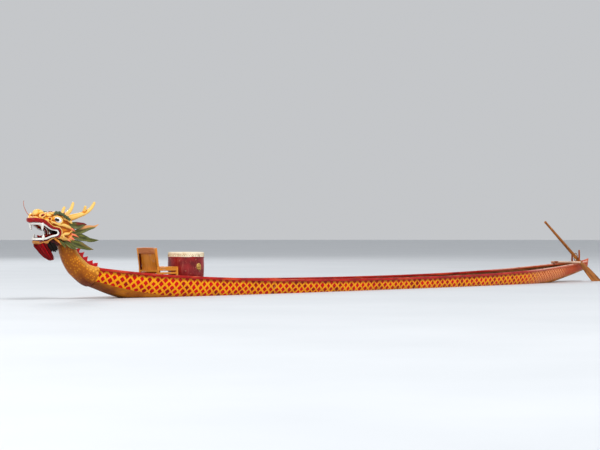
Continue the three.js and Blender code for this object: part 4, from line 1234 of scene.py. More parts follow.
def neck_paint(look):
    """Gold lacquer pressed with fine scales, pale along the back as a painted highlight, brown down the
    throat and dark red-brown high up under the head as painted shade, and dark red at its foot."""
    paint = Paint("neck_paint", coat_weight=0.12, coat_roughness=0.3)
    x, _, z = paint.axes()
    u, v = paint.uv()
    scales = paint.cells(paint.join(u, v * 1.1), 26, 0.7)
    coats = paint.noise(9, 4)
    back = paint.attribute("mark") + (coats - 0.5) * 0.25
    # Painted shade: brown down the throat, strongest where the mark is low.
    brown = back.ease(0.62, 0.2) * (scales * 0.5 + 0.45)
    red = back.ease(0.3, 0.12) * x.ease(6.86, 6.6)
    # Painted highlight: pale gold along the back.
    pale = back.ease(0.5, 0.8) * (scales.ease(0.6, 0.2) * 0.5 + 0.5)
    colour = paint.layers(
        look.gold, (coats.ease(0.35, 0.7), look.gold_shade),
        (scales.ease(0.25, 0.5) * 0.8, srgb(160, 78, 0)), (brown, srgb(154, 78, 0)),
        (red * 0.8, srgb(86, 16, 2)),
        # Painted shade: dark red-brown high on the neck, under the head and jaw.
        (z.ease(0.78, 0.92) * 0.7, srgb(112, 34, 2)), (pale * 0.85, srgb(255, 192, 74)))
    return paint.done(colour, coats * 0.2 + 0.34, (1 - scales) * 0.8 + coats * 0.2, 0.003)


def gloss_paint(name, base, deep, roughness=0.25):
    """Gloss enamel with darker colour in uneven strokes."""
    paint = Paint(name, coat_weight=0.25, coat_roughness=0.15)
    strokes = paint.noise(18, 4, over=(2, 1, 1))
    colour = paint.mix(strokes.ease(0.45, 0.75) * 0.8, base, deep)
    return paint.done(colour, strokes * 0.2 + roughness, paint.noise(50, 2), 0.0005)


def eye_paint():
    """White enamel with a painted black pupil, greyer towards the lids. Mark holds the turn from
    the middle of the pupil as a share of a half turn."""
    paint = Paint("eye_paint", coat_weight=0.8, coat_roughness=0.08)
    turn = paint.attribute("mark")
    brush = (paint.noise(40, 2) - 0.5) * 0.02
    white = paint.mix(turn.ease(0.38, 0.5), srgb(244, 242, 240), srgb(120, 100, 90))
    colour = paint.mix((turn + brush).ease(0.17, 0.19), srgb(12, 10, 10), white)
    return paint.done(colour, brush + 0.2)


def leaf_paint(look):
    """Olive enamel, darker along the middle and at the edges. Mark sweeps to tan and red where a lock is
    painted so.
    """
    paint = Paint("mane_paint", coat_weight=0.2, coat_roughness=0.35)
    u, v = paint.uv()
    tone = paint.attribute("tone")
    mark = paint.attribute("mark")
    streaks = paint.noise(1.5, 4, over=paint.join(u * 5, v * 50))
    coats = paint.noise(12, 4)
    colour = paint.layers(
        look.leaf, ((streaks * 0.6 + coats * 0.4).ease(0.35, 0.65), look.leaf_dark),
        (tone.ease(0.45, 0.1) * 0.5, srgb(40, 44, 18)), (tone.ease(0.8, 0.98) * 0.85, srgb(30, 32, 12)),
        (mark.ease(0.1, 0.9), srgb(226, 158, 96)), (mark.ease(-0.1, -0.9), srgb(122, 26, 24)))
    return paint.done(colour, coats * 0.2 + 0.38, streaks, 0.0015)


# Locks, antlers and beard

# Leaf-shaped locks on each side, as stops of x, y, z and half width, and the share by which the upper
# half is painted tan (above 0) or red (below 0).
LEAVES = [
    (metres([
        (7020, 110, 1128, 28), (6971, 130, 1120, 36), (6926, 150, 1113, 44), (6877, 175, 1111, 46),
        (6824, 197, 1119, 34), (6776, 213, 1128, 20), (6728, 223, 1124, 3),
    ]), -0.8),
    (metres([
        (6960, 120, 985, 22), (6901, 145, 1000, 30), (6840, 175, 1025, 41), (6765, 205, 1058, 42),
        (6695, 235, 1079, 32), (6620, 262, 1092, 18), (6545, 285, 1130, 3),
    ]), 1.0),
    (metres([
        (6950, 125, 950, 26), (6889, 150, 946, 38), (6823, 185, 935, 48), (6755, 215, 917, 37),
        (6699, 240, 896, 29), (6637, 266, 889, 21), (6550, 288, 893, 3),
    ]), 0.0),
    (metres([
        (7030, 110, 885, 24), (6967, 140, 863, 36), (6915, 170, 840, 50), (6841, 200, 817, 47),
        (6772, 226, 788, 34), (6708, 246, 766, 21), (6630, 262, 752, 3),
    ]), 0.3),
    (metres([
        (7080, 110, 870, 18), (7044, 130, 849, 24), (7003, 155, 816, 31), (6967, 180, 784, 25),
        (6918, 208, 752, 3),
    ]), 0.0),
    (metres([
        (7170, 110, 890, 10), (7147, 122, 869, 14), (7121, 137, 837, 19), (7099, 150, 805, 14),
        (7082, 165, 778, 3),
    ]), 0.0),
]
ANTLER_BEAM = metres([
    (7040, 70, 1195, 50), (6955, 95, 1222, 50), (6875, 125, 1246, 45), (6810, 158, 1270, 37),
    (6752, 186, 1294, 34), (6690, 210, 1330, 30), (6640, 226, 1375, 26), (6610, 236, 1420, 23.5),
    (6594, 242, 1451, 21),
])
# The two tines differ a little, as the carver cut them.
ANTLER_TINES = {
    "port": metres([
        (6758, 180, 1285, 34), (6752, 192, 1320, 28), (6754, 212, 1362, 23.5), (6757, 226, 1390, 21),
    ]),
    "starboard": metres([
        (6880, 130, 1245, 30), (6850, 185, 1300, 27), (6805, 220, 1352, 23.5), (6772, 237, 1382, 21),
    ]),
}
BROW = metres([
    (7272, 120, 1280), (7255, 135, 1296), (7226, 143, 1299), (7185, 150, 1290), (7135, 155, 1270),
    (7085, 158, 1243), (7041, 160, 1216), (6990, 158, 1200),
])
# Flame-shaped points behind the cheek: x, y and z of the root and of the tip, and the radius.
FLAMES = metres([
    (6985, 136, 1072, 6908, 168, 1022, 18), (6940, 132, 978, 6848, 178, 936, 18),
    (6978, 132, 932, 6900, 168, 876, 19), (7025, 130, 895, 6975, 152, 862, 13),
])
THROAT_FLAME = metres((7245, 110, 915, 7152, 138, 826, 17))
BEARD = metres([
    (7475, 872, 100, 48), (7443, 834, 106, 56), (7397, 779, 94, 51), (7350, 724, 85, 46),
    (7293, 667, 74, 39), (7238, 622, 56, 29), (7200, 598, 40, 18),
])
WHISKER = [
    (7.52, -0.1, 1.225, 0.0058), (7.556, -0.13, 1.27, 0.0052), (7.578, -0.163, 1.33, 0.0048),
    (7.592, -0.188, 1.395, 0.0044), (7.588, -0.203, 1.45, 0.004), (7.58, -0.208, 1.478, 0.0036),
]


def leaf(stops, paint_share, side, count=44, sides=16):
    """A cupped, pointed blade whose middle line and half width run through the stops. At the angle
    a round it, the blade is half width * cos a across and 8 mm * sin a thick at its root. Its edges
    lift outwards by a third of the square of their place across, and low folds run along it."""
    rows = smooth(stops, count)
    line = rows[:, :3] * (1, side, 1)
    wide = np.maximum(rows[:, 3] * 1.16, 0.002)
    t = np.linspace(0, 1, count)
    tangent = unit(np.gradient(line, axis=0))
    facing = np.array([0.3, side, 0.1])
    outward = unit(facing - tangent * (tangent @ facing)[:, None])
    upward = np.cross(outward, tangent) * side
    angle = turns_of(sides)
    across = np.cos(angle)
    thick = 0.008 * (1 - 0.6 * t[:, None]) * np.sin(angle) * np.sqrt(1 - 0.7 * across ** 2)
    cup = wide[:, None] * (0.34 * across ** 2 - 0.12 * np.cos(across * 9) * (1 - abs(across)))
    rings = beside(line, upward, outward, wide[:, None] * across, thick + cup)
    upper = np.clip(across[None] * 1.6 + 0.4, 0, 1)
    late = np.interp(t, [0.3, 0.55], [0.0, 1.0])[:, None]
    mark = paint_share * np.clip(upper * late + np.interp(t, [0.8, 0.95], [0, 1])[:, None], 0, 1)
    part = shell(rings, mark=mark)
    part["tone"] = np.broadcast_to(abs(across), (count, sides)).ravel()
    return part


def flame(row, side):
    """A pointed lick from its root over a bend 6 mm outside the straight line to its tip."""
    root, tip, radius = row[:3], row[3:6], row[6]
    bend = (root + tip) / 2 + (0.006, 0.006, 0.008)
    return limb([(*root, radius), (*bend, radius * 0.85), (*tip, 0.003)], 16, side, sides=12)


HAIRS = 190


def bristles(rng):
    """Many tapering hairs that follow the beard's line, spread over its width and depth."""
    line = smooth(BEARD, 26)
    parts = []
    for k in range(HAIRS):
        across = rng.uniform(-1, 1)
        depth = rng.uniform(-1, 1)
        first = rng.integers(0, 6)
        last = rng.integers(18, 26)
        rows = line[first:last]
        t = np.linspace(0, 1, len(rows))
        sway = 0.12 * np.sin(t * 3 + k) * t
        path = np.column_stack([
            rows[:, 0] + depth * rows[:, 3] * 0.75, rows[:, 2] * (across + sway) * 0.96,
            rows[:, 1] - depth * rows[:, 3] * 0.75])
        radius = 0.0052 * (1 - t) ** 0.5 + 0.0012
        parts.append(sweep(path, radius, radius, 5, tone=rng.uniform(0, 1), ends="flat"))
    return parts


def beard_core():
    """The thick sheaf under the hairs."""
    return middle_bar(smooth(BEARD, 22)[:19] * (1, 1, 0.9, 0.8), 20, power=1.8, tone=0.2)


def throat_tuft(rng):
    """Dark tufts under the jaw: drooping tapered hanks."""
    parts = []
    for side in (-1, -0.6, -0.2, 0.2, 0.6, 1):
        for shift in (0, 0.05, 0.1):
            x = 7.315 - shift + rng.uniform(-0.012, 0.012)
            drop = rng.uniform(0.0, 0.03)
            stops = [
                (x + 0.04, 0.07 * side, 0.85, 0.02), (x + 0.02, 0.078 * side, 0.815, 0.028),
                (x - 0.015, 0.078 * side, 0.775, 0.024), (x - 0.045, 0.072 * side, 0.748 - drop, 0.005)]
            parts.append(limb(stops, 16, sides=10, tone=rng.uniform(0, 1)))
    return parts


def hair_paint(name, base, deep):
    """Dyed fibre: fine strands of slightly different tone."""
    paint = Paint(name)
    u, v = paint.uv()
    strand = paint.noise(1.0, 3, over=paint.join(u * 3, v * 220))
    tone = paint.attribute("tone")
    colour = paint.mix((strand * 0.5 + tone * 0.5).ease(0.3, 0.75), deep, base)
    return paint.done(colour, strand * 0.2 + 0.55, strand, 0.001)


# Drummer's chair and drum

CHAIR = {
    "back": 5.24, "front": 4.83, "half": 0.218, "stile": 0.032, "seat": 0.47, "thick": 0.022,
    "top": 0.765, "rake": 0.05, "panel_low": 0.42, "rail": 0.088, "foot": 0.0703,
}
DRUM_X = 4.43
DRUM_FOOT = 0.24
DRUM_TOP = 0.6907
DRUM_END = 0.278
DRUM_BELLY = 0.29
DRUM_SIDES = 96
AXIS_GAP = 0.001
NAILS = 48
NAIL_ROWS = (0.664, 0.641)
NAIL_RADII = (0.0032, 0.0058, 0.0058)
STAND_REACH = 0.175
# The hide from its middle over the edge to the skirt: radius and height.
HIDE_HEAD = [(AXIS_GAP, 0.6968), (0.1, 0.6968), (0.2, 0.6966), (0.262, 0.696), (0.276, 0.694),
             (0.2825, 0.689), (0.2845, 0.68)]
SKIRT_EDGE = 0.621
BOSS_HEIGHT = 0.465


def lean(z):
    """Where the middle of the chair's back is at a height: upright to the seat, then raked."""
    share = np.maximum(np.asarray(z, float) - CHAIR["seat"], 0) / (CHAIR["top"] - CHAIR["seat"])
    return CHAIR["back"] + CHAIR["rake"] * share


def chair_posts():
    """Stiles, front legs and the rails between them."""
    c = CHAIR
    s = c["stile"] / 2
    y = c["half"] - s
    low = c["seat"] - c["thick"]
    back, front, foot = c["back"], c["front"], c["foot"]
    parts = []
    for side, tone in ((y, 0.35), (-y, 0.65)):
        # Bars along the side: x and z of both ends, half breadth, half depth, edge and tone.
        for x, z, x_end, z_end, *rest, shade in (
                (back, foot, back, c["seat"] + 0.004, s, s, 0.004, tone),
                (back, c["seat"] - 0.004, back + c["rake"], c["top"] - 0.004, s, s, 0.004, tone),
                (front, foot, front, low, s, s, 0.004, 1 - tone),
                (front, 0.37, back, 0.37, s * 0.75, 0.015, 0.003, 0.6),
                (front, low - 0.02, back, low - 0.02, s * 0.75, 0.02, 0.003, 0.4)):
            parts.append(timber((x, side, z), (x_end, side, z_end), *rest, tone=shade))
    # Bars from side to side: x, z, half breadth, half depth and tone.
    for x, z, wide, deep, tone in ((back, c["panel_low"] - 0.015, s * 0.75, 0.015, 0.7),
                                   (front, low - 0.02, s * 0.75, 0.02, 0.3),
                                   (front, 0.2, s * 0.6, 0.014, 0.5)):
        parts.append(crosswise(x, y, z, wide, deep, 0.003, tone=tone))
    return parts


def chair_rail():
    """The wide top rail, gently crowned, that leans with the back."""
    c = CHAIR
    y = np.linspace(-c["half"] + 0.002, c["half"] - 0.002, 25)
    low = c["top"] - c["rail"]
    top = c["top"] + 0.002 + 0.006 * np.cos(y / c["half"] * math.pi / 2)
    middle = (low + top) / 2
    path = np.column_stack([lean(middle), y, middle])
    tilt = (c["rake"], 0, c["top"] - c["seat"])
    return sweep(path, (top - low) / 2, 0.0165, 28, guide=tilt, power=7, ends="flat", tone=0.5)


def chair_panel():
    """The thin panel on the seat's side of the stiles: a flat board that leans with them."""
    c = CHAIR
    z = np.linspace(c["panel_low"] + 0.001, c["top"] - c["rail"] + 0.001, 14)
    y = c["half"] - c["stile"] - 0.0005
    rings = np.stack([
        np.column_stack([lean(h) - 0.028 + o[:, 1], o[:, 0], np.full(len(o), h)])
        for h in z for o in [rounded_outline(y, 0.006, 0.003)]])
    return shell(rings, tone=0.55)


def panel_shadow_slips():
    """Thin dark maroon slips on the inner faces of the stiles, up both sides of the panel: painted
    shadow for the gaps between panel and stiles.
    """
    c = CHAIR
    y = c["half"] - c["stile"] - 0.002
    low, top = c["panel_low"], c["top"] - c["rail"] + 0.001
    return [
        timber((lean(low) - 0.006, side * y, low), (lean(top) - 0.006, side * y, top), 0.02, 0.0018,
               0.001, guide=(1, 0, 0), tone=0.5)
        for side in BOTH
    ]


def seat_boards():
    c = CHAIR
    width = (c["back"] - c["front"] - c["stile"]) / 3
    start = c["front"] - c["stile"] / 2
    deep = c["thick"] / 2
    return [
        crosswise(start + width * (k + 0.5), c["half"], c["seat"] - deep, width / 2 - 0.001, deep,
                  0.004, tone=0.3 + 0.2 * k)
        for k in range(3)
    ]


def drum_radius(z):
    """End radius plus the belly's share 4 t (1 - t) at the share t of the barrel's height."""
    t = (np.minimum(z, DRUM_TOP) - DRUM_FOOT) / (DRUM_TOP - DRUM_FOOT)
    return DRUM_END + (DRUM_BELLY - DRUM_END) * 4 * t * (1 - t)


def drum_ring(radius, z, angle):
    """Places round the drum's axis, at radii and heights that may change with the angle."""
    places = np.broadcast_arrays(DRUM_X + radius * np.cos(angle), radius * np.sin(angle), z)
    return np.stack(places, -1)


def drum_shell():
    """The barrel: lathe-turned, bellied staves between a closed foot and the hide."""
    z = np.linspace(DRUM_FOOT, DRUM_TOP, 30)
    side = np.column_stack([drum_radius(z), z])
    profile = np.vstack([
        (AXIS_GAP, DRUM_FOOT), (side[0, 0] - 0.004, DRUM_FOOT), side, (side[-1, 0] - 0.01, DRUM_TOP),
        (AXIS_GAP, DRUM_TOP)])
    return shell(drum_ring(profile[:, :1], profile[:, 1:], turns_of(DRUM_SIDES)))


def drum_hoops():
    """Two low turned hoops round the barrel near its foot and under the hide."""
    parts = []
    for z, out in ((DRUM_FOOT + 0.022, 0.005), (0.604, 0.004)):
        r = drum_radius(z)
        radius = np.array([r - 0.004, r + out, r + out + 0.001, r + out, r - 0.004])
        height = z + np.array([-0.012, -0.008, 0, 0.008, 0.012])
        parts.append(shell(drum_ring(radius, height, turns_of(DRUM_SIDES)[:, None]), loop=True))
    return parts


def drum_hide(rng):
    """Stretched hide: a level head, a rounded edge, and a skirt down the barrel whose cut edge
    wavers, pulled in a little at the nails. Its under side lies on the barrel."""
    angle = turns_of(192)
    phases = rng.uniform(0, 2 * math.pi, 6)
    waver = sum(np.sin(angle * n + a) / n ** 0.7 for n, a in zip((5, 9, 14, 23, 37, 48), phases))
    bottom = SKIRT_EDGE + 0.0035 * waver
    rings = [drum_ring(r, z, angle) for r, z in HIDE_HEAD]
    start = HIDE_HEAD[-1][1]
    for share in np.linspace(0.1, 1, 9):
        z = start + (bottom - start) * share
        pucker = 0.0012 * np.sin(angle * NAILS) * share
        rings.append(drum_ring(drum_radius(z) + 0.0055 + pucker, z, angle))
    rings += [
        drum_ring(drum_radius(bottom) + 0.0006, bottom + 0.001, angle),
        drum_ring(drum_radius(DRUM_TOP) + 0.0006, 0.6905, angle), drum_ring(AXIS_GAP, 0.6912, angle)]
    mark = np.concatenate([np.zeros(7), np.linspace(0.1, 1, 9), np.ones(3)])[:, None]
    return shell(np.stack(rings), mark=np.broadcast_to(mark, (len(rings), len(angle))))


def drum_nails():
    """Two rows of domed nails through the skirt."""
    parts = []
    for row, z in enumerate(NAIL_ROWS):
        for a in turns_of(NAILS) + row * math.pi / NAILS:
            out = np.array([math.cos(a), math.sin(a), 0.0])
            centre = np.array([DRUM_X, 0, z]) + out * (drum_radius(z) + 0.0062)
            axes = (out, (-out[1], out[0], 0), (0, 0, 1))
            parts.append(ball(centre, NAIL_RADII, 8, axes))
    return parts


def drum_boss(side):
    """A gilt rosette on the barrel with a ring that hangs from it."""
    out = np.array([0.0, side, 0.0])
    base = np.array([DRUM_X, 0, BOSS_HEIGHT]) + out * float(drum_radius(BOSS_HEIGHT))
    axes = (out, (1, 0, 0), (0, 0, 1))
    parts = [ball(base, (0.008, 0.05, 0.055), 28, axes),
             ball(base + out * 0.006, (0.009, 0.021, 0.024), 20, axes)]
    for a in turns_of(10):
        petal = base + np.array([0.031 * math.cos(a), side * 0.004, 0.041 * math.sin(a)])
        parts.append(ball(petal, (0.006, 0.0085, 0.0105), 10, axes))
    ring = ellipse(base + out * 0.016 + (0, 0, -0.026), out, np.array([1.0, 0, 0]), (0.027, 0.03), 36)
    parts.append(sweep(ring, 0.0033, 0.0033, 8, guide=tuple(out), loop=True))
    return parts


def stand_bars():
    """The drum's low stand: four legs and four rails."""
    reach = STAND_REACH
    top = DRUM_FOOT - 0.0005
    rail = top - 0.02
    parts = []
    for a in (-reach, reach):
        x = DRUM_X + a
        for b in (-reach, reach):
            parts.append(timber((x, b, CHAIR["foot"]), (x, b, top), 0.02, 0.02, 0.003,
                                tone=0.5 + a * b * 6))
        parts.append(crosswise(x, reach, rail, 0.017, 0.018, 0.003, tone=0.4))
        parts.append(timber((DRUM_X - reach, a, rail), (DRUM_X + reach, a, rail), 0.017, 0.018, 0.003,
                            tone=0.6))
    return parts


def drum_paint(look):
    """Crimson lacquer over staves, scuffed, with fine runs down the barrel."""
    paint = Paint("drum_lacquer", coat_weight=0.35, coat_roughness=0.2)
    runs = paint.noise(5, 4, over=(8, 8, 1.2))
    coats = paint.noise(6, 4)
    scuffs = paint.noise(22, 5, 0.5).ease(0.62, 0.7)
    colour = paint.layers(
        look.drum, (coats.ease(0.35, 0.7), srgb(104, 18, 20)),
        (runs.ease(0.5, 0.72) * 0.45, srgb(196, 96, 84)), (scuffs * 0.5, srgb(206, 150, 110)))
    return paint.done(colour, coats * 0.25 + 0.28, runs * 0.4 - scuffs * 0.5, 0.0008)


def hide_paint():
    """Pale hide: cream on the head with darker beaten patches, mottled brown along the skirt."""
    paint = Paint("drum_hide")
    mottle = paint.noise(16, 5, 0.3)
    patches = paint.noise(4, 3)
    skirt = paint.attribute("mark")
    specks = paint.noise(30, 3).ease(0.62, 0.7) * skirt
    colour = paint.layers(
        srgb(244, 230, 200), (patches.ease(0.4, 0.7) * 0.5, srgb(222, 196, 150)),
        (mottle.ease(0.5, 0.62) * (skirt * 0.75 + 0.08), srgb(142, 92, 48)),
        (specks * 0.8, srgb(70, 50, 34)))
    return paint.done(colour, mottle * 0.2 + 0.55, mottle, 0.0012)


# Steering gear

PIVOT = np.array([-6.35, 0.31, 0.505])
OAR_SLOPE = math.radians(33)
OAR_ALONG = np.array([math.cos(OAR_SLOPE), 0.0, math.sin(OAR_SLOPE)])
# Stops along the oar from the pivot towards the handle: place, half thickness and half depth.
LOOM = [(-0.15, 0.033, 0.034), (0.0, 0.033, 0.033), (0.5, 0.029, 0.029), (0.9, 0.026, 0.026),
        (1.2, 0.0225, 0.0225), (1.26, 0.0225, 0.0225), (1.285, 0.0255, 0.0255), (1.3, 0.024, 0.024)]
BLADE = [(-0.1503, 0.033, 0.034), (-0.25, 0.025, 0.046), (-0.4, 0.0155, 0.068), (-0.6, 0.013, 0.088),
         (-1.0, 0.011, 0.106), (-1.25, 0.0105, 0.1115), (-1.34, 0.0095, 0.108), (-1.365, 0.008, 0.094)]


def oar_part(stops, power=2.0):
    rows = smooth(stops, 60)
    return sweep(PIVOT + OAR_ALONG * rows[:, :1], rows[:, 1], rows[:, 2], 32, power=power, ends="flat")


# The crutch's beam across the rails: its ends, half its width, and how far its top is below the pivot.
BEAM_ENDS = (-0.275, 0.42)
BEAM_HALF_WIDTH = 0.022
BEAM_DROP = 0.0868
# The crutch's two posts: place across from the pivot, and height of the top.
CRUTCH_POSTS = ((-0.085, 0.6), (0.085, 0.645))
POST_RADIUS = 0.0195
POST_TAPER = 0.0035


def crutch_bars():
    """The beam across the rails and the two posts that stand in it."""
    x = PIVOT[0]
    low = float(line_of("rail", x - BEAM_HALF_WIDTH)) + 0.0006
    top = PIVOT[2] - BEAM_DROP
    middle = (low + top) / 2
    ends = [(x, y, middle) for y in BEAM_ENDS]
    beam = timber(*ends, BEAM_HALF_WIDTH, (top - low) / 2, 0.005, guide=(1, 0, 0))
    beam["mark"] = np.where(beam["points"][:, 2] > middle + 0.012, 1.0, 0.0)
    parts = [beam]
    for shift, high in CRUTCH_POSTS:
        y = PIVOT[1] + shift
        t = np.linspace(0, 1, 14)
        path = np.column_stack([
            np.full(14, x) + 0.0008 * np.sin(t * 9), y + 0.001 * np.sin(t * 7 + shift * 40),
            low + 0.005 + (high - low - 0.012) * t])
        radius = POST_RADIUS - POST_TAPER * t
        parts.append(sweep(path, radius, radius, 18, guide=(1, 0, 0), tone=0.65))
    return parts


BECKET_HALF_WIDTH = 0.0418
BECKET_HALF_HEIGHT = 0.078
STRANDS = 3
STRAND_TWISTS = 14
STRAND_REACH = 0.0042
STRAND_RADIUS = 0.0046


def becket_rope():
    """A laid grommet: three strands twisted round an oval line through the posts. A strand is at
    the line's place plus its reach at an angle that runs on with the way round."""
    t = turns_of(160)[:, None]
    forward = np.array([1.0, 0, 0])
    outward = np.cos(t) * (0, 1, 0) + np.sin(t) * (0, 0, 1)
    line = PIVOT + outward * (0, BECKET_HALF_WIDTH, BECKET_HALF_HEIGHT)
    parts = []
    for strand in range(STRANDS):
        twist = t * STRAND_TWISTS + 2 * math.pi * strand / STRANDS
        path = line + STRAND_REACH * (outward * np.cos(twist) + forward * np.sin(twist))
        parts.append(sweep(
            path, STRAND_RADIUS, STRAND_RADIUS, 10, guide=(1, 0, 0), loop=True, tone=strand / 2))
    return parts


def rope_paint():
    paint = Paint("rope")
    u, v = paint.uv()
    fibre = paint.noise(1, 3, over=paint.join(u * 40, v * 300))
    colour = paint.mix(fibre.ease(0.3, 0.7), srgb(92, 46, 14), srgb(168, 98, 44))
    return paint.done(colour, fibre * 0.2 + 0.65, fibre, 0.0008)


# Settings

def colour_setting(name, text, value):
    return bpy.props.FloatVectorProperty(
        name=name, description=text, subtype="COLOR", size=3, min=0, max=1, default=value)


class HullFinish(bpy.types.PropertyGroup):
    gold_light: colour_setting("Lattice gold", "Bands between the diamonds", srgb(255, 172, 0))
    gold_deep: colour_setting("Lattice shade", "Darker strokes of the gold", srgb(244, 150, 0))
    diamond: colour_setting("Diamond", "Painted diamonds", srgb(214, 0, 2))
    ochre: colour_setting("Ochre", "Stem and bottom", srgb(206, 124, 10))
    rail: colour_setting("Rail", "Gunwales", srgb(190, 26, 14))


class DragonFinish(bpy.types.PropertyGroup):
    gold: colour_setting("Gold", "Head and neck", srgb(238, 156, 26))
    gold_shade: colour_setting("Gold shade", "Darker coats of the gold", srgb(218, 122, 10))
    # Pale gold on the ridges of the carving: a painted highlight.
    gold_ridge_highlight: colour_setting("Gold ridge", "Rubbed ridges", srgb(255, 214, 122))
    leaf: colour_setting("Leaf", "Leaf-shaped locks", srgb(116, 116, 50))
    leaf_dark: colour_setting("Leaf shade", "Darker strokes on the locks", srgb(56, 62, 26))
    bristles: bpy.props.IntProperty(
        name="Seed of the hairs", description="Starting number for the beard's hairs", default=4)


class GearFinish(bpy.types.PropertyGroup):
    drum: colour_setting("Drum", "Barrel lacquer", srgb(160, 34, 34))
    chair_light: colour_setting("Chair", "Light grain of the chair", srgb(250, 166, 50))
    chair_dark: colour_setting("Chair shade", "Dark grain of the chair", srgb(216, 122, 24))


class StageSettings(bpy.types.PropertyGroup):
    lens: bpy.props.FloatProperty(
        name="Lens", description="Focal length of the camera, in millimetres", default=108, min=10)
    eye_level: bpy.props.FloatProperty(
        name="Camera height", description="Height of the camera over the water", default=1.0154,
        unit="LENGTH")
    floor_radius: bpy.props.FloatProperty(
        name="Floor radius", description="Reach of the floor round the boat", default=200, min=10,
        unit="LENGTH")


# Operators

class BOAT_OT_planking(bpy.types.Operator):
    """Planks the hull and fits its rails, with the painted lattice"""
    bl_idname = "boat.planking"
    bl_label = "Planking and rails"

    def execute(self, context):
        look = context.scene.hull_finish
        bottom = bottom_paint(look)
        side_paint = lattice_paint(look)
        rails = rail_paint(look)
        piece("keel_strake", [keel_strake()], bottom, ["keel_plank"], "ochre_paint")
        for name, side in SIDES.items():
            piece(f"{name}_bottom_strake", [plank(KEEL_EDGE, CHINE, side)], bottom,
                  [f"{name}_bottom_planking"], "ochre_paint")
            piece(f"{name}_side_strake", [plank(CHINE, RAIL_EDGE, side, 28)], side_paint,
                  [f"{name}_side_planking"], "lattice_paint")
            piece(f"{name}_rail", [gunwale(side)], rails, [f"{name}_gunwale"], "rail_paint")
        piece("stern_beak", [stern_beak()], rails, ["stern_tip"], "rail_paint")
        block = lacquer("block_paint", srgb(214, 96, 6), srgb(180, 66, 4), srgb(240, 164, 96))
        dress("stern_block", block)
        dress("bow_block", block)
        return {"FINISHED"}


class BOAT_OT_benches(bpy.types.Operator):
    """Fits the thwarts, their stringers, the floor boards and the three small decks"""
    bl_idname = "boat.benches"
    bl_label = "Benches and decks"

    def execute(self, context):
        rng = np.random.default_rng(7)
        tones = rng.uniform(0.1, 0.9, 40)
        boards = wood_paint("bench_wood", srgb(186, 122, 62), srgb(120, 68, 32), 0.45, 0.2)
        frames = wood_paint("frame_wood", srgb(116, 72, 38), srgb(62, 38, 22), 0.6, mapped=False)
        for k, place in enumerate(BENCHES):
            name = f"bench_{k + 1:02d}"
            piece(f"thwart_{k + 1:02d}", [bench(place, tones[k])], boards, [name], "bench_wood")
        for name, side in SIDES.items():
            piece(f"{name}_stringer", [riser(side)], boards, [f"{name}_bench_riser"], "bench_wood")
        piece("floor_planks", floor_boards(tones[20:]), boards, ["floor_boards"], "bench_wood")
        for name, sizes in DECKS.items():
            piece(f"{name}_boards", deck(*sizes, tones), boards, [name], "bench_wood")
        for node in ("floor_frame", "drum_deck_frame", "steering_deck_frame"):
            dress(node, frames)
        return {"FINISHED"}


class BOAT_OT_neck(bpy.types.Operator):
    """Carves the scaled neck and the red crest behind it"""
    bl_idname = "boat.neck"
    bl_label = "Neck and crest"

    def execute(self, context):
        gold = neck_paint(context.scene.dragon_finish)
        piece("scaled_neck", [neck_skin()], gold, ["dragon_neck"], "neck_paint", crease=60)
        red = gloss_paint("crest_paint", srgb(200, 6, 18), srgb(128, 0, 10))
        piece("spiked_crest", [crest_skin()], red, ["neck_crest"], "crest_paint", crease=60)
        return {"FINISHED"}


class BOAT_OT_head(bpy.types.Operator):
    """Carves the dragon's skull and lower jaw"""
    bl_idname = "boat.head"
    bl_label = "Head and jaw"

    def execute(self, context):
        look = context.scene.dragon_finish
        gold = head_paint(look)
        carved("carved_head", upper_head(), HEAD_VOXEL, 9, gold, ["dragon_head"], "head_paint")
        gold = head_paint(look, "jaw_paint")
        carved("carved_jaw", lower_jaw(), HEAD_VOXEL, 4, gold, ["lower_jaw"], "jaw_paint")
        return {"FINISHED"}


class BOAT_OT_mouth(bpy.types.Operator):
    """Fits the red lips, the tongue, the gums with their fangs, a dark ball of painted shade in the
    throat, and the nostrils with balls of painted shade in their hollows
    """
    bl_idname = "boat.mouth"
    bl_label = "Lips, tongue and teeth"

    def execute(self, context):
        red = gloss_paint("tongue_paint", srgb(158, 2, 4), srgb(80, 0, 0))
        piece("red_lips", [upper_lip(), *red_marks()], red, [], "tongue_paint")
        piece("carved_tongue", [grooved_tongue()], red, ["tongue"], "tongue_paint")
        white = gloss_paint("tooth_paint", srgb(244, 241, 234), srgb(206, 196, 180))
        thick = np.interp(np.abs(np.linspace(-1, 1, 120)), [0.3, 0.6], [0.0185, 0.0125])
        gums = {"upper": gum_line(GUM[:GUM_CORNER + 1], thick),
                "lower": gum_line(GUM[GUM_CORNER:][::-1], 0.0145)}
        for jaw, gum in gums.items():
            fangs = [limb(FANGS[jaw], 20, side, sides=16) for side in BOTH]
            piece(f"{jaw}_fangs", [gum, *fangs], white, [f"{jaw}_teeth"], "tooth_paint")
        # Painted shade: a dark maroon ball deep in the throat, between the jaw and the neck.
        dark = gloss_paint("throat_shade_paint", srgb(84, 10, 4), srgb(34, 4, 2), 0.6)
        hollow = ball((7.19, 0, 0.885), (0.16, 0.104, 0.085), 32)
        piece("throat_shadow_ball", [hollow], dark, [], "jaw_paint")
        # Painted shade: near-black balls in the nostrils' hollows.
        black = gloss_paint("nostril_shade_paint", srgb(60, 4, 4), srgb(30, 2, 2))
        nostril_shades = [ball(mirrored(NOSTRIL_HOLLOW, side), (0.02, 0.009, 0.0075), 14) for side in BOTH]
        piece("nostril_shadow_balls", nostril_shades, black, [], "eye_paint")
        return {"FINISHED"}


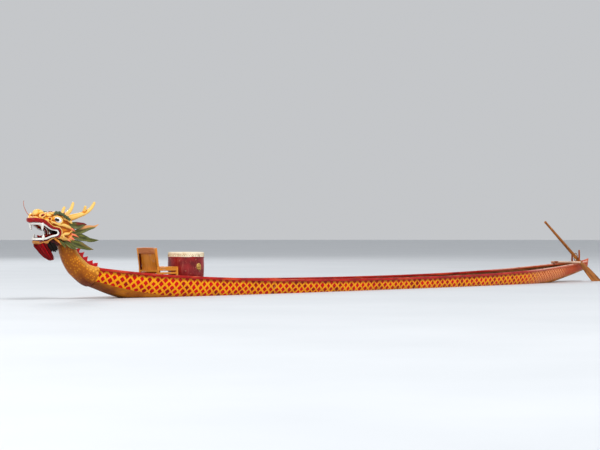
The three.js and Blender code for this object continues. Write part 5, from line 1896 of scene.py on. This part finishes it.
class BOAT_OT_eyes(bpy.types.Operator):
    """Sets the eyes under their scalloped brows"""
    bl_idname = "boat.eyes"
    bl_label = "Eyes and brows"

    def execute(self, context):
        white = eye_paint()
        for name, side in SIDES.items():
            piece(f"{name}_eyeball", [eyeball(side)], white, [f"{name}_eye"], "eye_paint")
        green = gloss_paint("brow_paint", srgb(84, 94, 62), srgb(20, 28, 16), 0.45)
        brows = [part for side in BOTH for part in brow(side)]
        piece("scalloped_brows", brows, green, [], "mane_paint")
        return {"FINISHED"}


class BOAT_OT_locks(bpy.types.Operator):
    """Carves the antlers, and adds the leaf-shaped locks and the flame points"""
    bl_idname = "boat.locks"
    bl_label = "Antlers and locks"

    def execute(self, context):
        look = context.scene.dragon_finish
        green = leaf_paint(look)
        gold = head_paint(look, "antler_paint")
        for name, side in SIDES.items():
            beam = limb(ANTLER_BEAM, 50, side, sides=24)
            antler = [beam, limb(ANTLER_TINES[name], 24, side, sides=20)]
            carved(f"{name}_branched_antler", antler, 0.005, 6, gold, [f"{name}_antler"], "antler_paint")
            locks = [leaf(*row, side) for row in LEAVES]
            piece(f"{name}_leaf_locks", locks, green, [f"{name}_mane"], "mane_paint", crease=70)
        orange = gloss_paint("flame_paint", srgb(250, 138, 96), srgb(210, 58, 24), 0.35)
        points = [flame(row, side) for side in BOTH for row in FLAMES]
        piece("cheek_flames", points, orange, [], "mane_paint")
        yellow = gloss_paint("throat_flame_paint", srgb(240, 156, 56), srgb(206, 92, 20), 0.35)
        points = [flame(THROAT_FLAME, side) for side in BOTH]
        piece("throat_flames", points, yellow, [], "mane_paint")
        return {"FINISHED"}


class BOAT_OT_beard(bpy.types.Operator):
    """Ties on the beard, the tuft under the jaw and the copper whisker"""
    bl_idname = "boat.beard"
    bl_label = "Beard and whisker"

    def execute(self, context):
        rng = np.random.default_rng(context.scene.dragon_finish.bristles)
        red = hair_paint("beard_hair", srgb(184, 0, 8), srgb(92, 0, 4))
        piece("bristle_beard", [beard_core(), *bristles(rng)], red, ["beard"], "beard_hair")
        dark = hair_paint("throat_hair", srgb(34, 22, 12), srgb(8, 6, 4))
        piece("throat_tuft", throat_tuft(rng), dark, [], "mane_paint")
        wire = limb(WHISKER, 40, sides=10)
        copper = metal_paint(
            "whisker_wire", 0.9, srgb(206, 120, 92), srgb(140, 66, 48), 60, 3, 0.3, 0.0003)
        piece("copper_whisker", [wire], copper, ["starboard_whisker"], "whisker_wire")
        return {"FINISHED"}


class BOAT_OT_chair(bpy.types.Operator):
    """Joins the drummer's chair: posts, rails, panel and seat"""
    bl_idname = "boat.chair"
    bl_label = "Drummer's chair"

    def execute(self, context):
        look = context.scene.gear_finish
        wood = wood_paint("chair_wood", look.chair_light, look.chair_dark, 0.4, 0.25,
                          wear=srgb(226, 160, 110))
        top = wood_paint("chair_top", srgb(222, 142, 84), srgb(184, 98, 44), 0.45, 0.2,
                         wear=srgb(238, 196, 168))
        piece("chair_bars", chair_posts(), wood, ["chair_frame"], "chair_wood")
        piece("chair_top_rail", [chair_rail()], top, ["chair_frame"], "chair_wood")
        piece("chair_seat_boards", seat_boards(), wood, ["chair_seat"], "chair_wood")
        # Painted shadow: dark maroon slips beside the panel stand for the shaded gaps.
        slips = lacquer("shadow_slip_paint", srgb(110, 24, 8), srgb(70, 12, 4), srgb(150, 60, 30))
        piece("chair_shadow_slips", panel_shadow_slips(), slips, [], "chair_wood")
        piece("chair_panel_board", [chair_panel()], wood, ["chair_back_panel"], "chair_wood")
        return {"FINISHED"}


class BOAT_OT_drum(bpy.types.Operator):
    """Turns the drum, stretches its hide, nails the skirt and builds the stand"""
    bl_idname = "boat.drum"
    bl_label = "Drum and stand"

    def execute(self, context):
        look = context.scene.gear_finish
        rng = np.random.default_rng(11)
        red = drum_paint(look)
        gilt = metal_paint("gilt", 0.85, srgb(236, 196, 110), srgb(150, 104, 46), 40, 4, 0.25, 0.0005)
        dark = wood_paint("stand_wood", srgb(150, 90, 48), srgb(88, 48, 26), 0.5, 0.15)
        piece("drum_staves", [drum_shell(), *drum_hoops()], red, ["drum_barrel"], "drum_lacquer")
        piece("drum_head", [drum_hide(rng)], hide_paint(), ["drum_skin"], "drum_hide", crease=60)
        piece("drum_nails", drum_nails(), gilt, [], "drum_hide")
        for name, side in SIDES.items():
            piece(f"{name}_drum_boss", drum_boss(side), gilt, [], "drum_lacquer")
        piece("drum_trestle", stand_bars(), dark, ["drum_stand"], "frame_wood")
        return {"FINISHED"}


class BOAT_OT_steering(bpy.types.Operator):
    """Sets up the crutch, the rope becket and the steering oar"""
    bl_idname = "boat.steering"
    bl_label = "Steering oar"

    def execute(self, context):
        dark = wood_paint("crutch_wood", srgb(176, 84, 20), srgb(112, 46, 6), 0.5, 0.05,
                          rubbed=srgb(250, 222, 196))
        oar = wood_paint("oar_wood", srgb(198, 120, 44), srgb(88, 38, 4), 0.45, 0.1,
                         wear=srgb(206, 136, 62))
        piece("crutch_bars", crutch_bars(), dark, ["steering_crutch"], "frame_wood")
        piece("laid_becket", becket_rope(), rope_paint(), ["rope_becket"], "rope", body="becket")
        piece("oar_shaft", [oar_part(LOOM)], oar, ["oar_loom"], "oar_wood", body="steering_oar")
        piece("oar_paddle", [oar_part(BLADE, 2.2)], oar, ["oar_blade"], "oar_wood", body="steering_oar")
        return {"FINISHED"}


class BOAT_OT_stage(bpy.types.Operator):
    """Adds the pale floor at the waterline, soft light and the camera"""
    bl_idname = "boat.stage"
    bl_label = "Stage"

    def execute(self, context):
        setting = context.scene.stage_settings
        scene = context.scene
        floor_round_hull(setting.floor_radius)
        lens = bpy.data.cameras.new("camera")
        lens.lens = setting.lens
        lens.sensor_width = 36
        lens.clip_end = 500
        scene.camera = aimed("camera", lens, (*CAMERA_PLACE, setting.eye_level), CAMERA_AIM)
        for name, (place, target, size, power) in LAMPS.items():
            lamp = bpy.data.lights.new(name, "AREA")
            lamp.shape = "DISK"
            lamp.size = size
            lamp.energy = power
            aimed(name, lamp, place, np.subtract(target, place))
        world = bpy.data.worlds.new("studio")
        world.use_nodes = True
        sky = world.node_tree.nodes["Background"].inputs
        sky["Color"].default_value = (0.93, 0.95, 0.98, 1)
        sky["Strength"].default_value = 0.6
        scene.world = world
        scene.view_settings.view_transform = "Standard"
        return {"FINISHED"}


CAMERA_PLACE = (24.6517, 20.6271)
CAMERA_AIM = (-0.7438, -0.6684, math.tan(math.radians(0.223)))
# Lamps: place, the place that each one is aimed at, diameter and power.
LAMPS = {
    "key_light": ((12, 26, 34), (1, 0, 0.5), 16, 10500),
    "fill_light": ((36, 4, 14), (2, 0, 0.3), 20, 2600),
    "back_light": ((-12, -30, 20), (0, 0, 0.5), 18, 2600),
}


def aimed(name, data, place, direction):
    """A camera or a lamp at a place, turned to look along a direction."""
    thing = added(name, data)
    thing.location = place
    thing.rotation_euler = Vector(direction).to_track_quat("-Z", "Y").to_euler()
    return thing


def floor_round_hull(radius):
    """A level floor at the water's surface with a hole that follows the hull. Each ring of the
    floor lies between the hole and a circle, at a share of the way that grows as a square."""
    x = np.linspace(STERN_END, BOW_END, 1200)
    section = skin(x[:, None], np.linspace(0, 90, 400)[None])
    wet = section[:, 0, 1] < -0.004
    half = np.array([np.interp(0, s[:, 1], s[:, 0]) for s in section[wet]]) - 0.006
    pick = np.linspace(0, len(half) - 1, 160).astype(int)
    side = np.column_stack([x[wet][pick], np.maximum(half[pick], 0.002)])
    hole = np.vstack([side, side[::-1] * (1, -1)])
    turn = np.arctan2(hole[:, 1] * 6, hole[:, 0])
    rim = radius * np.column_stack([np.cos(turn), np.sin(turn)])
    share = np.linspace(0, 1, 24)[:, None, None] ** 2
    rings = hole * (1 - share) + rim * share
    points = np.concatenate([rings, np.zeros((*rings.shape[:2], 1))], 2)
    n = len(hole)
    row, column = corners(len(rings) - 1, n)
    faces = (row * n + column % n)[:, ::-1]
    mesh = bpy.data.meshes.new("floor")
    mesh.from_pydata(points.reshape(-1, 3).tolist(), [], faces.tolist())
    paint = Paint("floor")
    ripple = paint.noise(0.35, 3)
    tint = paint.mix(ripple, srgb(206, 210, 214), srgb(222, 225, 228))
    mesh.materials.append(paint.done(tint, ripple * 0.1 + 0.55))
    return added("floor", mesh)


class BOAT_PT_panel(bpy.types.Panel):
    """Lists the steps that build the boat"""
    bl_label = "Dragon Boat"
    bl_idname = "BOAT_PT_panel"
    bl_space_type = "VIEW_3D"
    bl_region_type = "UI"
    bl_category = "Dragon Boat"

    def draw(self, context):
        for step in STEPS:
            self.layout.operator(step.bl_idname)
        for group in GROUPS:
            box = self.layout.box()
            settings = getattr(context.scene, group)
            for key in settings.__annotations__:
                box.prop(settings, key)


GROUPS = {
    "hull_finish": HullFinish, "dragon_finish": DragonFinish, "gear_finish": GearFinish,
    "stage_settings": StageSettings,
}
STEPS = (
    BOAT_OT_planking, BOAT_OT_benches, BOAT_OT_neck, BOAT_OT_head, BOAT_OT_mouth, BOAT_OT_eyes,
    BOAT_OT_locks, BOAT_OT_beard, BOAT_OT_chair, BOAT_OT_drum, BOAT_OT_steering, BOAT_OT_stage,
)
CLASSES = (*GROUPS.values(), *STEPS, BOAT_PT_panel)


def register():
    for kind in CLASSES:
        bpy.utils.register_class(kind)
    for name, kind in GROUPS.items():
        setattr(bpy.types.Scene, name, bpy.props.PointerProperty(type=kind))


def unregister():
    for name in GROUPS:
        delattr(bpy.types.Scene, name)
    for kind in reversed(CLASSES):
        bpy.utils.unregister_class(kind)


def main():
    register()
    for step in STEPS:
        getattr(bpy.ops.boat, step.bl_idname.split(".")[1])()


if __name__ == "__main__":
    main()
